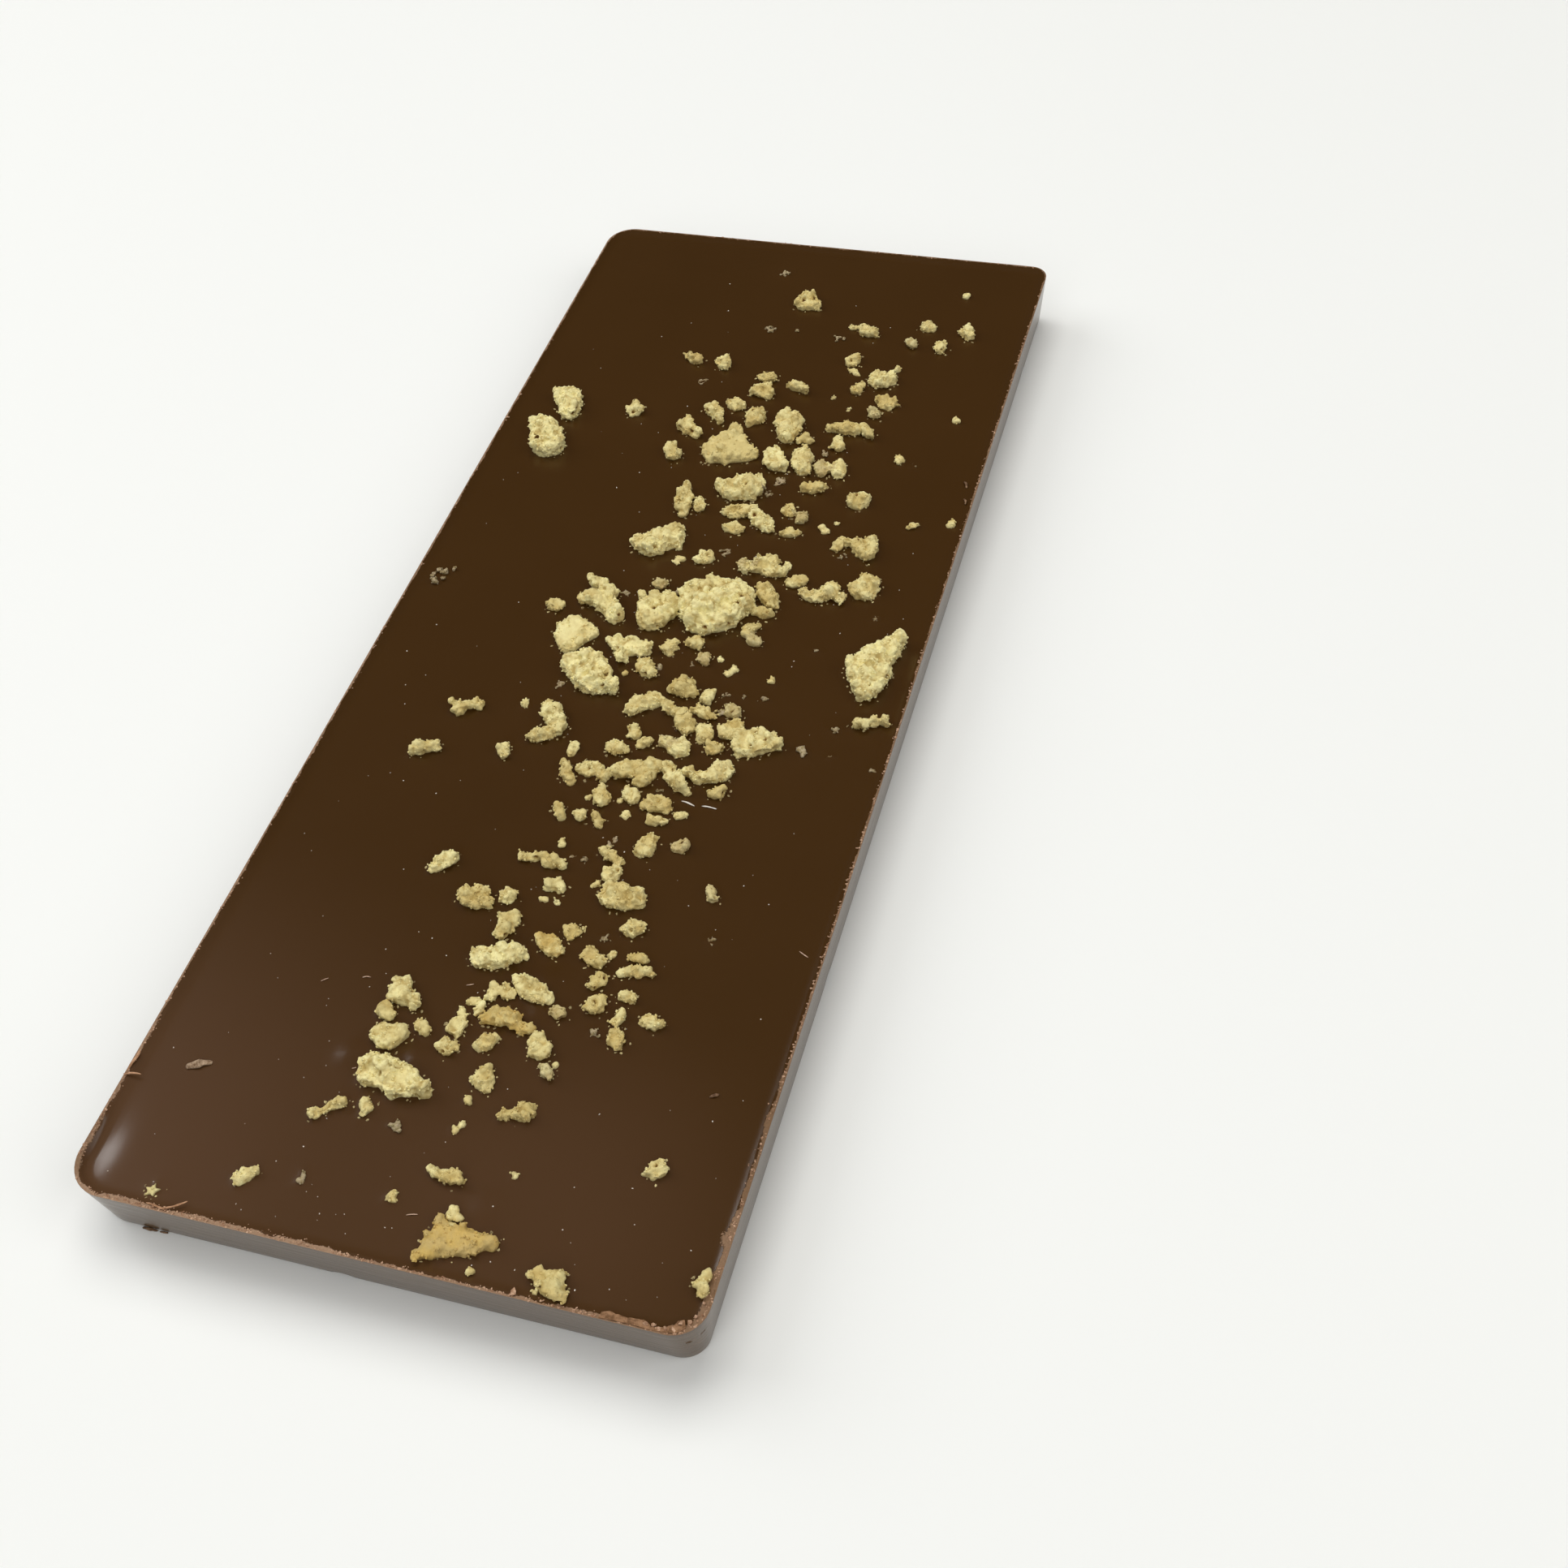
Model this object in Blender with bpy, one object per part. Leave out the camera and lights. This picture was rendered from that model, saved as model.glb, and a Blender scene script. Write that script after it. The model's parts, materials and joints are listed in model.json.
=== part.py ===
# A bar of maple chocolate, cast in a mould and lying back up, with maple flakes set into its back.
# Metres, +Z up. The origin is the middle of the face it rests on, and +Y runs along the bar.
import math
import random

import bmesh
import bpy
from mathutils import Matrix, Vector, noise

MM = 0.001
NODE_NAME = "maple_chocolate_bar"

# The bar
BAR_WIDTH = 60 * MM
BAR_LENGTH = 150 * MM
BAR_THICKNESS = 7.0 * MM
SIDE_DRAFT = 0.8 * MM
END_DRAFT = 1.0 * MM
FOOT_ROUNDING = 0.5 * MM
CORNER_SEGMENTS = 6
# Plan radius at each corner, by the signs of its x and y
CORNER_RADII = {
    (-1, -1): 3.8 * MM,
    (1, -1): 3.2 * MM,
    (1, 1): 2.2 * MM,
    (-1, 1): 3.4 * MM,
}

# The back: a narrow rim, then a fillet in two steps down to the level the chocolate set at
RIM_WIDTH = 0.45 * MM
FILLET_STEPS = ((0.6 * MM, 0.22 * MM), (0.9 * MM, 0.13 * MM))
POOL_DEPTH = sum(drop for reach, drop in FILLET_STEPS)
POOL_LEVEL = BAR_THICKNESS - POOL_DEPTH
POOL_CELL = 15 * MM

# The break lines in the moulded face: round-bottomed grooves that run out at its edges
GROOVE_RADIUS = 1.6 * MM
GROOVE_DEPTH = 0.8 * MM
GROOVE_SIDES = 10
GROOVE_ARC_STEP = math.radians(7)
# Straight ones: start and end, mm
STRAIGHT_GROOVES = (
    ((-5.1, -79), (3, -26.5)),
    ((-14, -14.5), (-20, 79)),
    ((12, -30), (6, 79)),
)
# Curved ones: centre, radius in mm, start and end angles in degrees
CURVED_GROOVES = (
    ((33, 32), 66, 190, 275),
    ((38, 84), 24, 195, 262),
)

# Large flakes: x, y, length, width in mm, turn in degrees, number of sides
LARGE_FLAKES = (
    (1.0, 62.3, 3.8, 3.2, -25, 3), (10.2, 57.8, 2.8, 2.3, 40, 5), (22.5, 59.5, 2.7, 2.1, 110, 4),
    (14.4, 48.6, 3.8, 3.4, 30, 5), (0.2, 44.0, 3.4, 2.4, 0, 4), (4.2, 45.7, 3.1, 2.0, -20, 6),
    (15.9, 44.4, 2.9, 2.1, 15, 5), (-10.6, 48.9, 2.9, 1.9, -35, 5), (-2.3, 40.9, 2.9, 2.1, 15, 5),
    (-4.4, 38.8, 4.0, 2.0, -52, 4), (0.7, 38.7, 3.0, 2.4, 80, 5), (-6.6, 35.6, 3.7, 2.2, -45, 5),
    (-0.8, 32.9, 6.8, 6.0, -28, 3), (5.2, 37.8, 5.0, 3.4, 105, 5), (5.4, 32.0, 4.8, 2.2, -62, 4),
    (8.7, 32.3, 5.0, 2.4, -70, 4), (11.2, 28.1, 3.1, 2.6, 20, 6), (12.0, 38.6, 5.8, 2.2, 5, 4),
    (2.9, 26.3, 6.0, 3.8, 35, 5), (17.0, 26.2, 3.1, 2.6, 75, 5), (-2.9, 22.8, 5.6, 2.6, -66, 3),
    (3.7, 22.2, 3.1, 2.5, 20, 5), (6.9, 21.1, 4.9, 1.9, -50, 4), (19.6, 18.7, 3.9, 2.8, 78, 4),
    (-4.2, 15.4, 6.2, 4.8, 30, 3), (9.8, 14.0, 4.6, 2.6, -25, 5), (17.0, 10.8, 4.8, 3.0, 5, 3),
    (21.2, 12.6, 4.0, 3.5, 80, 4), (-23.3, 37.0, 5.4, 2.6, -65, 4), (-23.5, 30.4, 7.2, 3.8, -60, 4),
    (5.9, 6.0, 8.2, 7.4, 20, 6), (3.2, 9.0, 4.0, 3.2, 10, 5), (-0.5, 4.7, 6.2, 4.3, 95, 5),
    (-7.0, 6.0, 4.8, 2.6, -60, 4), (-8.2, -0.4, 6.2, 5.0, 105, 6), (-4.2, -5.7, 7.6, 4.8, -38, 4),
    (-2.0, -1.4, 4.4, 3.2, -12, 4), (1.2, -3.8, 4.5, 2.4, -60, 5), (25.0, 0.8, 9.2, 4.5, 76, 4),
    (27.0, -6.7, 3.8, 1.6, 25, 4), (6.1, -5.8, 3.2, 2.8, 85, 4), (2.8, -8.8, 4.7, 2.8, 50, 6),
    (8.0, -10.8, 4.6, 2.6, -40, 4), (15.2, -11.9, 6.8, 4.5, -12, 5), (12.8, -10.3, 3.4, 2.6, 100, 4),
    (8.3, -13.8, 3.2, 2.8, 70, 5), (-5.8, -12.8, 4.0, 2.8, -60, 4), (-6.8, -15.2, 3.0, 2.3, 15, 5),
    (12.5, -16.8, 5.5, 3.0, 25, 5), (0.2, -18.5, 3.4, 2.8, 25, 5), (3.4, -18.2, 4.4, 2.6, 20, 4),
    (6.0, -18.2, 3.6, 2.6, 95, 4), (9.3, -18.4, 4.6, 2.7, -32, 5), (-18.2, -19.6, 3.4, 2.3, 32, 5),
    (-16.4, -12.9, 3.6, 2.0, 28, 4), (8.4, -21.5, 3.3, 2.2, 10, 4), (9.2, -27.3, 3.0, 2.2, 80, 5),
    (-0.8, -30.8, 4.6, 2.1, -8, 4), (9.0, -33.7, 5.0, 3.1, 15, 5), (-10.4, -33.5, 3.8, 2.3, 62, 5),
    (-5.2, -36.7, 4.0, 2.5, -10, 5), (-1.2, -39.2, 3.7, 1.9, 80, 4), (-0.6, -43.0, 5.7, 3.4, 25, 4),
    (3.6, -40.6, 3.3, 2.6, -42, 5), (12.9, -41.6, 3.6, 1.2, 10, 4), (3.9, -45.8, 4.6, 2.3, -30, 4),
    (3.0, -49.4, 5.5, 2.7, -15, 5), (-7.8, -48.6, 4.3, 2.3, -45, 4), (-7.3, -53.7, 3.5, 3.2, 60, 5),
    (-5.0, -57.8, 8.0, 3.8, -12, 5), (7.0, -51.5, 3.4, 2.0, 108, 4), (3.0, -56.0, 3.3, 2.2, 85, 5),
    (7.7, -58.4, 3.0, 1.6, 28, 3), (-9.7, -61.9, 3.9, 1.8, 48, 4), (3.7, -65.9, 3.4, 1.9, -10, 5),
    (6.6, -71.5, 6.6, 5.2, -8, 3), (16.1, -73.0, 3.7, 2.1, -15, 4),
)

# Small flakes: x, y, breadth in mm
SMALL_FLAKES = (
    (17.4, 60.1, 2.0), (16.1, 56.6, 2.0), (19.8, 56.2, 2.1), (9.9, 52.1, 2.1), (11.6, 46.9, 1.9),
    (-6.1, 48.6, 2.0), (0.0, 46.9, 2.1), (15.0, 42.5, 1.9), (-7.3, 30.6, 2.2), (7.8, 35.8, 2.4),
    (11.3, 31.0, 2.2), (13.2, 31.3, 2.4), (15.0, 38.8, 1.8), (11.9, 36.1, 1.8), (-14.4, 37.8, 2.0),
    (-1.2, 22.8, 1.8), (3.9, 19.4, 1.9), (9.4, 23.3, 2.1), (11.1, 23.0, 1.9), (10.5, 20.0, 1.8),
    (16.8, 19.0, 1.9), (2.1, 13.9, 2.0), (7.0, 13.9, 2.1), (13.6, 12.5, 2.1), (-1.5, 9.3, 1.9),
    (10.8, 9.9, 2.1), (11.9, 8.2, 1.9), (11.0, 6.6, 2.2), (10.3, 4.3, 2.0), (11.4, 2.4, 1.9),
    (5.3, 1.0, 1.9), (2.8, -0.2, 1.7), (6.9, -1.1, 1.8), (-9.0, 5.2, 1.8), (-12.3, 3.7, 2.1),
    (9.0, -6.4, 2.1), (8.9, -8.8, 2.2), (12.1, -7.8, 1.8), (10.1, -11.8, 2.3), (6.7, -13.4, 1.8),
    (11.8, -13.3, 2.1), (2.7, -12.6, 1.7), (1.7, -15.2, 2.3), (4.2, -14.2, 1.8), (-9.9, -18.0, 1.7),
    (-2.4, -19.6, 2.3), (13.8, -19.2, 1.8), (2.4, -21.9, 2.4), (5.7, -21.4, 2.1), (-1.2, -24.6, 2.0),
    (1.1, -24.6, 1.7), (2.9, -24.8, 2.0), (8.9, -23.9, 1.9), (12.4, -26.2, 1.9), (5.8, -28.9, 2.0),
    (6.9, -31.1, 2.1), (1.7, -33.7, 2.1), (-2.5, -36.1, 2.2), (17.1, -31.5, 1.7), (5.3, -38.6, 1.7),
    (11.1, -36.9, 2.1), (8.6, -41.1, 2.3), (9.8, -43.4, 2.0), (10.5, -46.0, 2.3), (13.0, -44.4, 1.7),
    (13.0, -46.6, 1.7), (16.2, -46.6, 2.0), (13.5, -49.2, 2.0), (1.7, -46.3, 1.9), (0.4, -47.0, 1.7),
    (7.2, -47.7, 1.7), (-1.6, -50.9, 2.2), (-1.5, -53.5, 2.0), (1.8, -52.0, 2.3), (-4.7, -52.0, 1.8),
    (-8.7, -51.2, 1.9), (8.5, -53.8, 1.7), (-6.4, -61.2, 1.9), (21.7, -61.0, 2.3), (-14.0, -70.0, 2.0),
)

# How a flake is shaped from its length and width
FLAKE_BASE_HEIGHT = 0.35 * MM
FLAKE_HEIGHT_SHARE = 0.30
FLAKE_SUNK_DEPTH = 0.6 * MM
FLAKE_LUMP_SCALE = 1.6
FLAKE_LUMP_DEPTH = 0.35
SMALL_FLAKE_STRETCH = (1.0, 1.45)
FLAKE_WALL_TOP = 0.5
# A flake at least this long has the corners beside it, and a crown whose steps
# each have an inset and a height, in shares of the flake's breadth and height
FLAKE_DETAIL = (
    (4.4 * MM, 9, ((0.13, 0.86), (0.13, 1.0))),
    (2.6 * MM, 7, ((0.15, 1.0),)),
    (0.0, 5, ((0.14, 1.0),)),
)
SMALL_FLAKE_SIDES = (3, 6)
SEED = 7

# Colours, and the angle over which an edge stays sharp
CHOCOLATE_COLOUR = (0.075, 0.032, 0.016)
CHOCOLATE_ROUGHNESS = 0.3
FLAKE_COLOUR = (0.62, 0.47, 0.21)
FLAKE_ROUGHNESS = 0.8
SHARP_ANGLE = math.radians(35)
NEAR = 1e-6


def clear_scene():
    for thing in list(bpy.data.objects):
        bpy.data.objects.remove(thing, do_unlink=True)


def make_material(name, colour, roughness):
    material = bpy.data.materials.new(name)
    material.use_nodes = True
    shader = material.node_tree.nodes["Principled BSDF"]
    shader.inputs["Base Color"].default_value = (*colour, 1.0)
    shader.inputs["Roughness"].default_value = roughness
    shader.inputs["Metallic"].default_value = 0.0
    return material


def make_object(name, bm, material, collection):
    bmesh.ops.recalc_face_normals(bm, faces=bm.faces[:])
    mesh = bpy.data.meshes.new(name)
    bm.to_mesh(mesh)
    bm.free()
    mesh.materials.append(material)
    thing = bpy.data.objects.new(name, mesh)
    collection.objects.link(thing)
    return thing


def make_bar(chocolate):
    bm = bmesh.new()
    bmesh.ops.create_cube(bm, size=1.0)
    bmesh.ops.transform(
        bm,
        matrix=Matrix.Translation((0, 0, BAR_THICKNESS / 2))
        @ Matrix.Diagonal((BAR_WIDTH, BAR_LENGTH, BAR_THICKNESS, 1)),
        verts=bm.verts,
    )
    # The walls lean in towards the foot, so that the bar leaves its mould
    for vert in bm.verts:
        if vert.co.z < BAR_THICKNESS / 2:
            vert.co.x -= math.copysign(SIDE_DRAFT, vert.co.x)
            vert.co.y -= math.copysign(END_DRAFT, vert.co.y)
    round_corners(bm)
    round_foot(bm)
    sink_pool(bm)
    return make_object(NODE_NAME, bm, chocolate, bpy.context.scene.collection)


def round_corners(bm):
    for (sign_x, sign_y), radius in CORNER_RADII.items():
        upright = [e for e in bm.edges if abs(e.verts[0].co.z - e.verts[1].co.z) > BAR_THICKNESS / 2]
        corner = max(upright, key=lambda e: sum(v.co.x * sign_x + v.co.y * sign_y for v in e.verts))
        bmesh.ops.bevel(
            bm, geom=[corner], offset=radius, offset_type="OFFSET", segments=CORNER_SEGMENTS,
            profile=0.5, affect="EDGES", material=-1,
        )


def round_foot(bm):
    foot = min(bm.faces, key=lambda face: face.calc_center_median().z)
    bmesh.ops.bevel(
        bm, geom=list(foot.edges), offset=FOOT_ROUNDING, offset_type="OFFSET", segments=2,
        profile=0.5, affect="EDGES", material=-1,
    )


def sink_pool(bm):
    back = max(bm.faces, key=lambda face: face.calc_center_median().z)
    bmesh.ops.inset_region(bm, faces=[back], thickness=RIM_WIDTH, depth=0.0, use_even_offset=True)
    for reach, drop in FILLET_STEPS:
        bmesh.ops.inset_region(bm, faces=[back], thickness=reach, depth=-drop, use_even_offset=True)
    cut_into_cells(bm, [back])


def cut_into_cells(bm, pool):
    # Straight cuts across the pool, so that no face spans the whole back
    for normal, span in ((Vector((1, 0, 0)), BAR_WIDTH), (Vector((0, 1, 0)), BAR_LENGTH)):
        cells = round(span / POOL_CELL)
        for step in range(1, cells):
            edges = {edge for face in pool for edge in face.edges}
            corners = {vert for face in pool for vert in face.verts}
            bmesh.ops.bisect_plane(
                bm, geom=[*pool, *edges, *corners], dist=NEAR,
                plane_co=normal * (step * span / cells - span / 2), plane_no=normal,
            )
            pool = [f for f in bm.faces if all(abs(v.co.z - POOL_LEVEL) < NEAR for v in f.verts)]


def groove_section(bm):
    # The round section stands in the XZ plane and reaches one groove's depth into the bar
    centre_below = GROOVE_RADIUS - GROOVE_DEPTH
    made = bmesh.ops.create_circle(bm, cap_ends=True, segments=GROOVE_SIDES, radius=GROOVE_RADIUS)
    half_step = math.pi / GROOVE_SIDES
    stand = Matrix.Translation((0, 0, -centre_below)) @ Matrix.Rotation(math.pi / 2, 4, "X")
    bmesh.ops.transform(bm, matrix=stand @ Matrix.Rotation(half_step, 4, "Z"), verts=made["verts"])
    return made["verts"]


def make_straight_groove(name, start, end, chocolate, collection):
    start, end = (Vector((x, y, 0)) * MM for x, y in (start, end))
    run = end - start
    bm = bmesh.new()
    groove_section(bm)
    grown = bmesh.ops.extrude_face_region(bm, geom=bm.faces[:])
    moved = [item for item in grown["geom"] if isinstance(item, bmesh.types.BMVert)]
    bmesh.ops.translate(bm, vec=(0, run.length, 0), verts=moved)
    turn = Matrix.Rotation(math.atan2(run.y, run.x) - math.pi / 2, 4, "Z")
    bmesh.ops.transform(bm, matrix=Matrix.Translation(start) @ turn, verts=bm.verts)
    return make_object(name, bm, chocolate, collection)


def make_curved_groove(name, centre, radius, first, last, chocolate, collection):
    bm = bmesh.new()
    section = groove_section(bm)
    bmesh.ops.translate(bm, vec=(radius * MM, 0, 0), verts=section)
    sweep = math.radians(last - first)
    bmesh.ops.rotate(
        bm, cent=(0, 0, 0), matrix=Matrix.Rotation(math.radians(first), 3, "Z"), verts=section
    )
    steps = round(sweep / GROOVE_ARC_STEP)
    bmesh.ops.spin(bm, geom=bm.faces[:], cent=(0, 0, 0), axis=(0, 0, 1), angle=sweep, steps=steps)
    bmesh.ops.translate(bm, vec=(centre[0] * MM, centre[1] * MM, 0), verts=bm.verts)
    return make_object(name, bm, chocolate, collection)


def flake_height(length, width):
    return FLAKE_BASE_HEIGHT + FLAKE_HEIGHT_SHARE * math.sqrt(length * width)


def polygon_reach(angle, sides):
    # Distance from the middle of a many-sided plate to its edge, 1 at its corners
    half_step = math.pi / sides
    off_corner = (angle % (2 * half_step)) - half_step
    return math.cos(half_step) / math.cos(off_corner)


def make_flake(name, place, length, width, turn, sides, draw, maple, collection):
    corners, crown_steps = next((c, s) for least, c, s in FLAKE_DETAIL if length >= least)
    height = flake_height(length, width)
    bm = bmesh.new()
    bmesh.ops.create_circle(bm, cap_ends=True, segments=corners, radius=0.5)
    bmesh.ops.translate(bm, vec=(0, 0, -FLAKE_SUNK_DEPTH / height), verts=bm.verts)
    grown = bmesh.ops.extrude_face_region(bm, geom=bm.faces[:])
    wall_top = [item for item in grown["geom"] if isinstance(item, bmesh.types.BMVert)]
    bmesh.ops.translate(bm, vec=(0, 0, FLAKE_WALL_TOP + FLAKE_SUNK_DEPTH / height), verts=wall_top)
    crown = next(item for item in grown["geom"] if isinstance(item, bmesh.types.BMFace))
    level = FLAKE_WALL_TOP
    for inset, top in crown_steps:
        bmesh.ops.inset_region(bm, faces=[crown], thickness=inset, use_even_offset=True)
        bmesh.ops.translate(bm, vec=(0, 0, top - level), verts=crown.verts)
        level = top
    lump_offset = Vector((draw.uniform(-50, 50), draw.uniform(-50, 50), draw.uniform(-50, 50)))
    for vert in bm.verts:
        reach = polygon_reach(math.atan2(vert.co.y, vert.co.x), sides)
        lump = 1 + FLAKE_LUMP_DEPTH * noise.noise(vert.co * 2 * FLAKE_LUMP_SCALE + lump_offset)
        vert.co.x *= reach * lump
        vert.co.y *= reach * lump
        if vert.co.z > 0:
            vert.co.z *= 1 + FLAKE_LUMP_DEPTH * noise.noise(vert.co * 2 * FLAKE_LUMP_SCALE - lump_offset)
    low_x, high_x = (pick(v.co.x for v in bm.verts) for pick in (min, max))
    low_y, high_y = (pick(v.co.y for v in bm.verts) for pick in (min, max))
    size = Matrix.Diagonal((length / (high_x - low_x), width / (high_y - low_y), height, 1))
    stand = Matrix.Translation((*place, POOL_LEVEL)) @ Matrix.Rotation(turn, 4, "Z")
    bmesh.ops.transform(bm, matrix=stand @ size, verts=bm.verts)
    return make_object(name, bm, maple, collection)


def make_flakes(maple, collection):
    draw = random.Random(SEED)
    for index, (x, y, length, width, turn, sides) in enumerate(LARGE_FLAKES):
        make_flake(
            f"large_flake_{index}", (x * MM, y * MM), length * MM, width * MM,
            math.radians(turn), sides, draw, maple, collection,
        )
    for index, (x, y, breadth) in enumerate(SMALL_FLAKES):
        stretch = math.sqrt(draw.uniform(*SMALL_FLAKE_STRETCH))
        turn = draw.uniform(0, math.pi)
        make_flake(
            f"small_flake_{index}", (x * MM, y * MM), breadth * MM * stretch, breadth * MM / stretch,
            turn, draw.randint(*SMALL_FLAKE_SIDES), draw, maple, collection,
        )


def make_helpers(name):
    collection = bpy.data.collections.new(name)
    bpy.context.scene.collection.children.link(collection)
    return collection


def combine(bar, helpers, operation, solver):
    # Cut with, or join on, all of the collection's objects at once, then remove them
    modifier = bar.modifiers.new(operation.lower(), "BOOLEAN")
    modifier.operation = operation
    modifier.operand_type = "COLLECTION"
    modifier.collection = helpers
    modifier.solver = solver
    modifier.material_mode = "TRANSFER"
    depsgraph = bpy.context.evaluated_depsgraph_get()
    combined = bpy.data.meshes.new_from_object(bar.evaluated_get(depsgraph))
    bar.modifiers.clear()
    bar.data = combined
    for thing in list(helpers.objects):
        bpy.data.objects.remove(thing, do_unlink=True)
    bpy.data.collections.remove(helpers)


def cut_grooves(bar, chocolate):
    helpers = make_helpers("grooves")
    for index, (start, end) in enumerate(STRAIGHT_GROOVES):
        make_straight_groove(f"straight_groove_{index}", start, end, chocolate, helpers)
    for index, (centre, radius, first, last) in enumerate(CURVED_GROOVES):
        make_curved_groove(f"curved_groove_{index}", centre, radius, first, last, chocolate, helpers)
    combine(bar, helpers, "DIFFERENCE", "EXACT")


def set_in_flakes(bar, maple):
    helpers = make_helpers("flakes")
    make_flakes(maple, helpers)
    combine(bar, helpers, "UNION", "MANIFOLD")


def main():
    clear_scene()
    chocolate = make_material("chocolate", CHOCOLATE_COLOUR, CHOCOLATE_ROUGHNESS)
    maple = make_material("maple", FLAKE_COLOUR, FLAKE_ROUGHNESS)
    bar = make_bar(chocolate)
    cut_grooves(bar, chocolate)
    set_in_flakes(bar, maple)
    bar.data.shade_smooth()
    bar.data.set_sharp_from_angle(angle=SHARP_ANGLE)


main()
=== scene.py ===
import json
import math
import random

import bmesh
import bpy
import numpy as np
from mathutils import Matrix, Vector, noise
from mathutils.kdtree import KDTree

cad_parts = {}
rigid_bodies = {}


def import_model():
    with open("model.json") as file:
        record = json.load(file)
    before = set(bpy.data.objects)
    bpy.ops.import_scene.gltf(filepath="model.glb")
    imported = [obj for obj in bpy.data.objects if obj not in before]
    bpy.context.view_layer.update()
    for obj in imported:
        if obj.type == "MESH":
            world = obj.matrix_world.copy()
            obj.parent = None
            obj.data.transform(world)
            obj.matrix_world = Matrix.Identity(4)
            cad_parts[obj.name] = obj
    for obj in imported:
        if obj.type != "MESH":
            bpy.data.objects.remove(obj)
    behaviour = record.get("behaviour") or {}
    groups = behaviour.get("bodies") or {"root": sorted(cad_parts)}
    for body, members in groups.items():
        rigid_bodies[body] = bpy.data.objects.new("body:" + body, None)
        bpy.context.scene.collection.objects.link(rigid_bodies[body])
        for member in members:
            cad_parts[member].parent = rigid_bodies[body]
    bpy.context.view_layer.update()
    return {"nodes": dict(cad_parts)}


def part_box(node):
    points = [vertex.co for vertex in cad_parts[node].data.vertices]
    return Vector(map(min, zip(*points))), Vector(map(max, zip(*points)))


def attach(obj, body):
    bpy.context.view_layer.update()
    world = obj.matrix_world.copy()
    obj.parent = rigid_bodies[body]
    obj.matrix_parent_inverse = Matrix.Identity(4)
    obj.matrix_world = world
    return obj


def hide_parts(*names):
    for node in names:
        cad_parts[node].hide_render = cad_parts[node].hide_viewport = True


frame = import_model()
mm = 0.001
cadNode = "maple_chocolate_bar"
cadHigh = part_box(cadNode)[1]
print("the frame is in, with", len(frame["nodes"]), "node")


# Shader sums and materials

class Wire:
    # One socket of a material, so that masks and sizes read as ordinary sums
    def __init__(self, tree, socket=None):
        self.tree = tree
        self.socket = socket

    def node(self, kind, settings=None, links=None, out=0):
        made = self.tree.nodes.new(kind)
        for name, value in (settings or {}).items():
            setattr(made, name, value)
        for name, value in (links or {}).items():
            if isinstance(value, Wire):
                self.tree.links.new(value.socket, made.inputs[name])
            else:
                made.inputs[name].default_value = value
        return Wire(self.tree, made.outputs[out] if len(made.outputs) else None)

    def maths(self, operation, *values):
        return self.node("ShaderNodeMath", {"operation": operation}, dict(enumerate(values)))

    def __add__(self, other):
        return self.maths("ADD", self, other)

    def __sub__(self, other):
        return self.maths("SUBTRACT", self, other)

    def __rsub__(self, other):
        return self.maths("SUBTRACT", other, self)

    def __mul__(self, other):
        return self.maths("MULTIPLY", self, other)

    def __truediv__(self, other):
        return self.maths("DIVIDE", self, other)

    __radd__ = __add__
    __rmul__ = __mul__

    def rise(self, low, high):  # 0 below low, 1 above high, smooth between
        return self.node(
            "ShaderNodeMapRange", {"interpolation_type": "SMOOTHSTEP"},
            {"Value": self, "From Min": low, "From Max": high},
        )

    def blend(self, first, second):  # self is the share of the second colour
        return self.node("ShaderNodeMix", {"data_type": "RGBA"}, {0: self, 6: first, 7: second}, out=2)


def paint(red, green, blue):  # a colour as a screen shows it, 0 to 255
    shares = (value / 255 for value in (red, green, blue))
    return (*(((s + 0.055) / 1.055) ** 2.4 if s > 0.04 else s / 12.92 for s in shares), 1.0)


def startMaterial(name):
    material = bpy.data.materials.new(name)
    material.use_nodes = True
    material.node_tree.nodes.clear()
    wire = Wire(material.node_tree)
    coords = wire.node("ShaderNodeTexCoord", out="Object")
    return material, wire, coords


def grain(wire, coords, size, detail=2.0, roughness=0.5):  # size in metres
    links = {"Vector": coords, "Scale": 1 / size, "Detail": detail, "Roughness": roughness}
    return wire.node("ShaderNodeTexNoise", links=links)


def reading(wire, name):  # a value kept on the mesh
    return wire.node("ShaderNodeAttribute", {"attribute_name": name}, out="Fac")


def finishMaterial(wire, sockets, height, depth):  # height runs from 0 to 1 over depth in metres
    bump = wire.node("ShaderNodeBump", links={"Height": height, "Distance": depth})
    shader = wire.node("ShaderNodeBsdfPrincipled", links={**sockets, "Normal": bump})
    wire.node("ShaderNodeOutputMaterial", links={"Surface": shader})


# Mesh helpers

def takeMesh(name, bm, material):
    mesh = bpy.data.meshes.new(name)
    bm.to_mesh(mesh)
    bm.free()
    mesh.materials.append(material)
    piece = bpy.data.objects.new(name, mesh)
    bpy.context.scene.collection.objects.link(piece)
    return piece


def settle(piece):  # the piece's modifiers become its mesh
    depsgraph = bpy.context.evaluated_depsgraph_get()
    mesh = bpy.data.meshes.new_from_object(piece.evaluated_get(depsgraph))
    piece.modifiers.clear()
    piece.data = mesh


def points(mesh):
    flat = np.empty(len(mesh.vertices) * 3, np.float32)
    mesh.vertices.foreach_get("co", flat)
    return flat.reshape(-1, 3)


def keepValues(mesh, name, values):
    mesh.attributes.new(name, "FLOAT", "POINT")
    mesh.attributes[name].data.foreach_set("value", np.asarray(values, np.float32))


def smoothStep(low, high, value):
    share = min(1.0, max(0.0, (value - low) / (high - low)))
    return share * share * (3 - 2 * share)


def wander(x, y, size, seed=0.0):  # soft noise over the plan, about -1 to 1
    return noise.noise(Vector((x / size, y / size, seed)))


def pick(made, kind):  # what an operator made of one kind, such as its corners
    return [item for item in made["geom"] if isinstance(item, kind)]


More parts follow.
